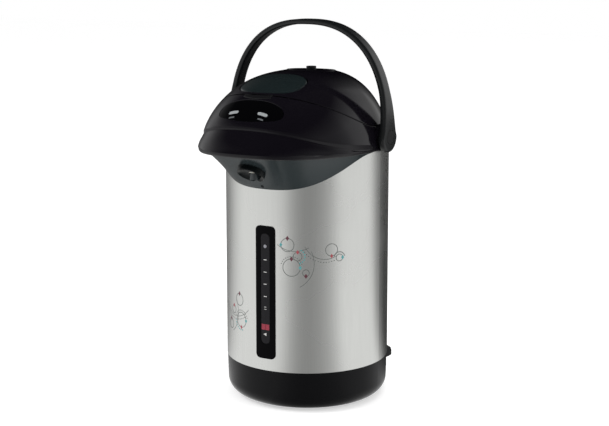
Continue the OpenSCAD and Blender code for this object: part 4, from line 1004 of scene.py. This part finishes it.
# The well's wall, the dial's cup, and the knuckle and web at the back are one with the lid.
extra = []
rim_out, rim_in = plate_plan(WELL_GAP + 1), plate_plan(WELL_GAP)
walls = []
for plan, depth in ((rim_out, 1.3), (rim_out, 15), (rim_in, 15), (rim_in, 1.3)):
    walls.append(np.column_stack([plan, height(plan[:, 0], plan[:, 1]) - depth]))
extra.append(sheet(walls, close_rows=True))
turn = np.linspace(0, 2 * np.pi, CUP_SIDES, endpoint=False)
cup = [(4.06, CUP_FLOOR), (CUP_R, CUP_FLOOR), (CUP_R, 327.0), (24.9, 326.4), (25.1, 319),
    (4.06, 319)]
extra.append(sheet([np.column_stack([r * np.cos(turn), DIAL_Y + r * np.sin(turn),
    np.full(CUP_SIDES, h)]) for r, h in cup], close_rows=True))
# A fine bead is moulded round the dial's cup.
bead = []
for a in np.radians(np.arange(0, 360, 30)):
    r = 23.9 + 0.8 * np.cos(a)
    x, y = r * np.cos(turn), DIAL_Y + r * np.sin(turn)
    bead.append(np.column_stack([x, y, height(x, y) + 0.55 * np.sin(a)]))
extra.append(sheet(bead, close_rows=True))
extra.append(barrel([(PIN_R, -11.7), (PIN_R, 11.7)], HINGE, "x", PIN_SIDES))
extra.append(prism([(-11.7, 76.5), (11.7, 76.5), (11.7, 83.5), (-11.7, 83.5)], 278, 283))
joined(lid, *extra)
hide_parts("lid_shell")
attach(lid, "lid")
dress(lid, black_gloss)
dress(cad["lid_screws"], screw_zinc)
dress(cad["lid_hinge_pin"], screw_zinc)
# Cured silicone: milky, soft and matt.
silicone = moulding("milky silicone", "#c4c1b8", 0.6, 0.6, 0.03, Subsurface_Weight=0.15)
for node in ("lid_gasket", "air_valve", "vent_pipe"):
    dress(cad[node], silicone)

# The catch is a satin crescent tab in the hood, just in front of the lid.
catch = solid("lid_catch", patch(catch_plan(0), -0.5, 2, CATCH_AT, 0.3, 5),
    prism([(-5, -97), (5, -97), (5, -95), (-5, -95)], 290, 308))
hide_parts("lid_catch")
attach(catch, "catch")
dress(catch, black_satin)

# ---- Push plate, bellows and valve ---------------------------------------------------
# A smoke-tinted polished plate flush with the lid. It presses a rubber bellows against
# a steel spring, and the valve under them lets the air into the vessel.
# Polished ABS with a cold tint: a shade lighter than the lid, and as sharp in its gloss.
smoke_gloss = moulding("smoke-tinted ABS", "#161d1e", 0.12, 7.0, 0.02,
    Specular_IOR_Level=0.35)
plate = solid("push_plate", patch(plate_plan(0), 0, 3, PLATE_AT, 1.4, 24),
    barrel([(9, 300.3), (9, 310), (0.01, 310)], (0, -50, 0)))
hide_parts("push_plate")
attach(plate, "plate")
dress(plate, smoke_gloss)
# The bellows and the spring in it are rebuilt as pieces of their own, merged and smooth, that ride
# with the lid.
for node, finish, slot in (("bellows", rubber, "rubber"), ("return_spring", screw_zinc,
        "screw_steel")):
    held = cad[node].data
    piece = solid("pump_" + node, ([v.co * 1000 for v in held.vertices],
        [tuple(f.vertices) for f in held.polygons]), sharp=40)
    dress(piece, finish)
    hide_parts(node)
    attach(piece, "lid")
    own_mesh(piece)

# ---- Lock dial -----------------------------------------------------------------------
# A satin ABS disc with a raised pointer, sunk in the lid's cup. It turns on a hollow
# shaft that runs down through the cup's floor and opens the vent.
dress(cad["lock_dial"], handle_grey)
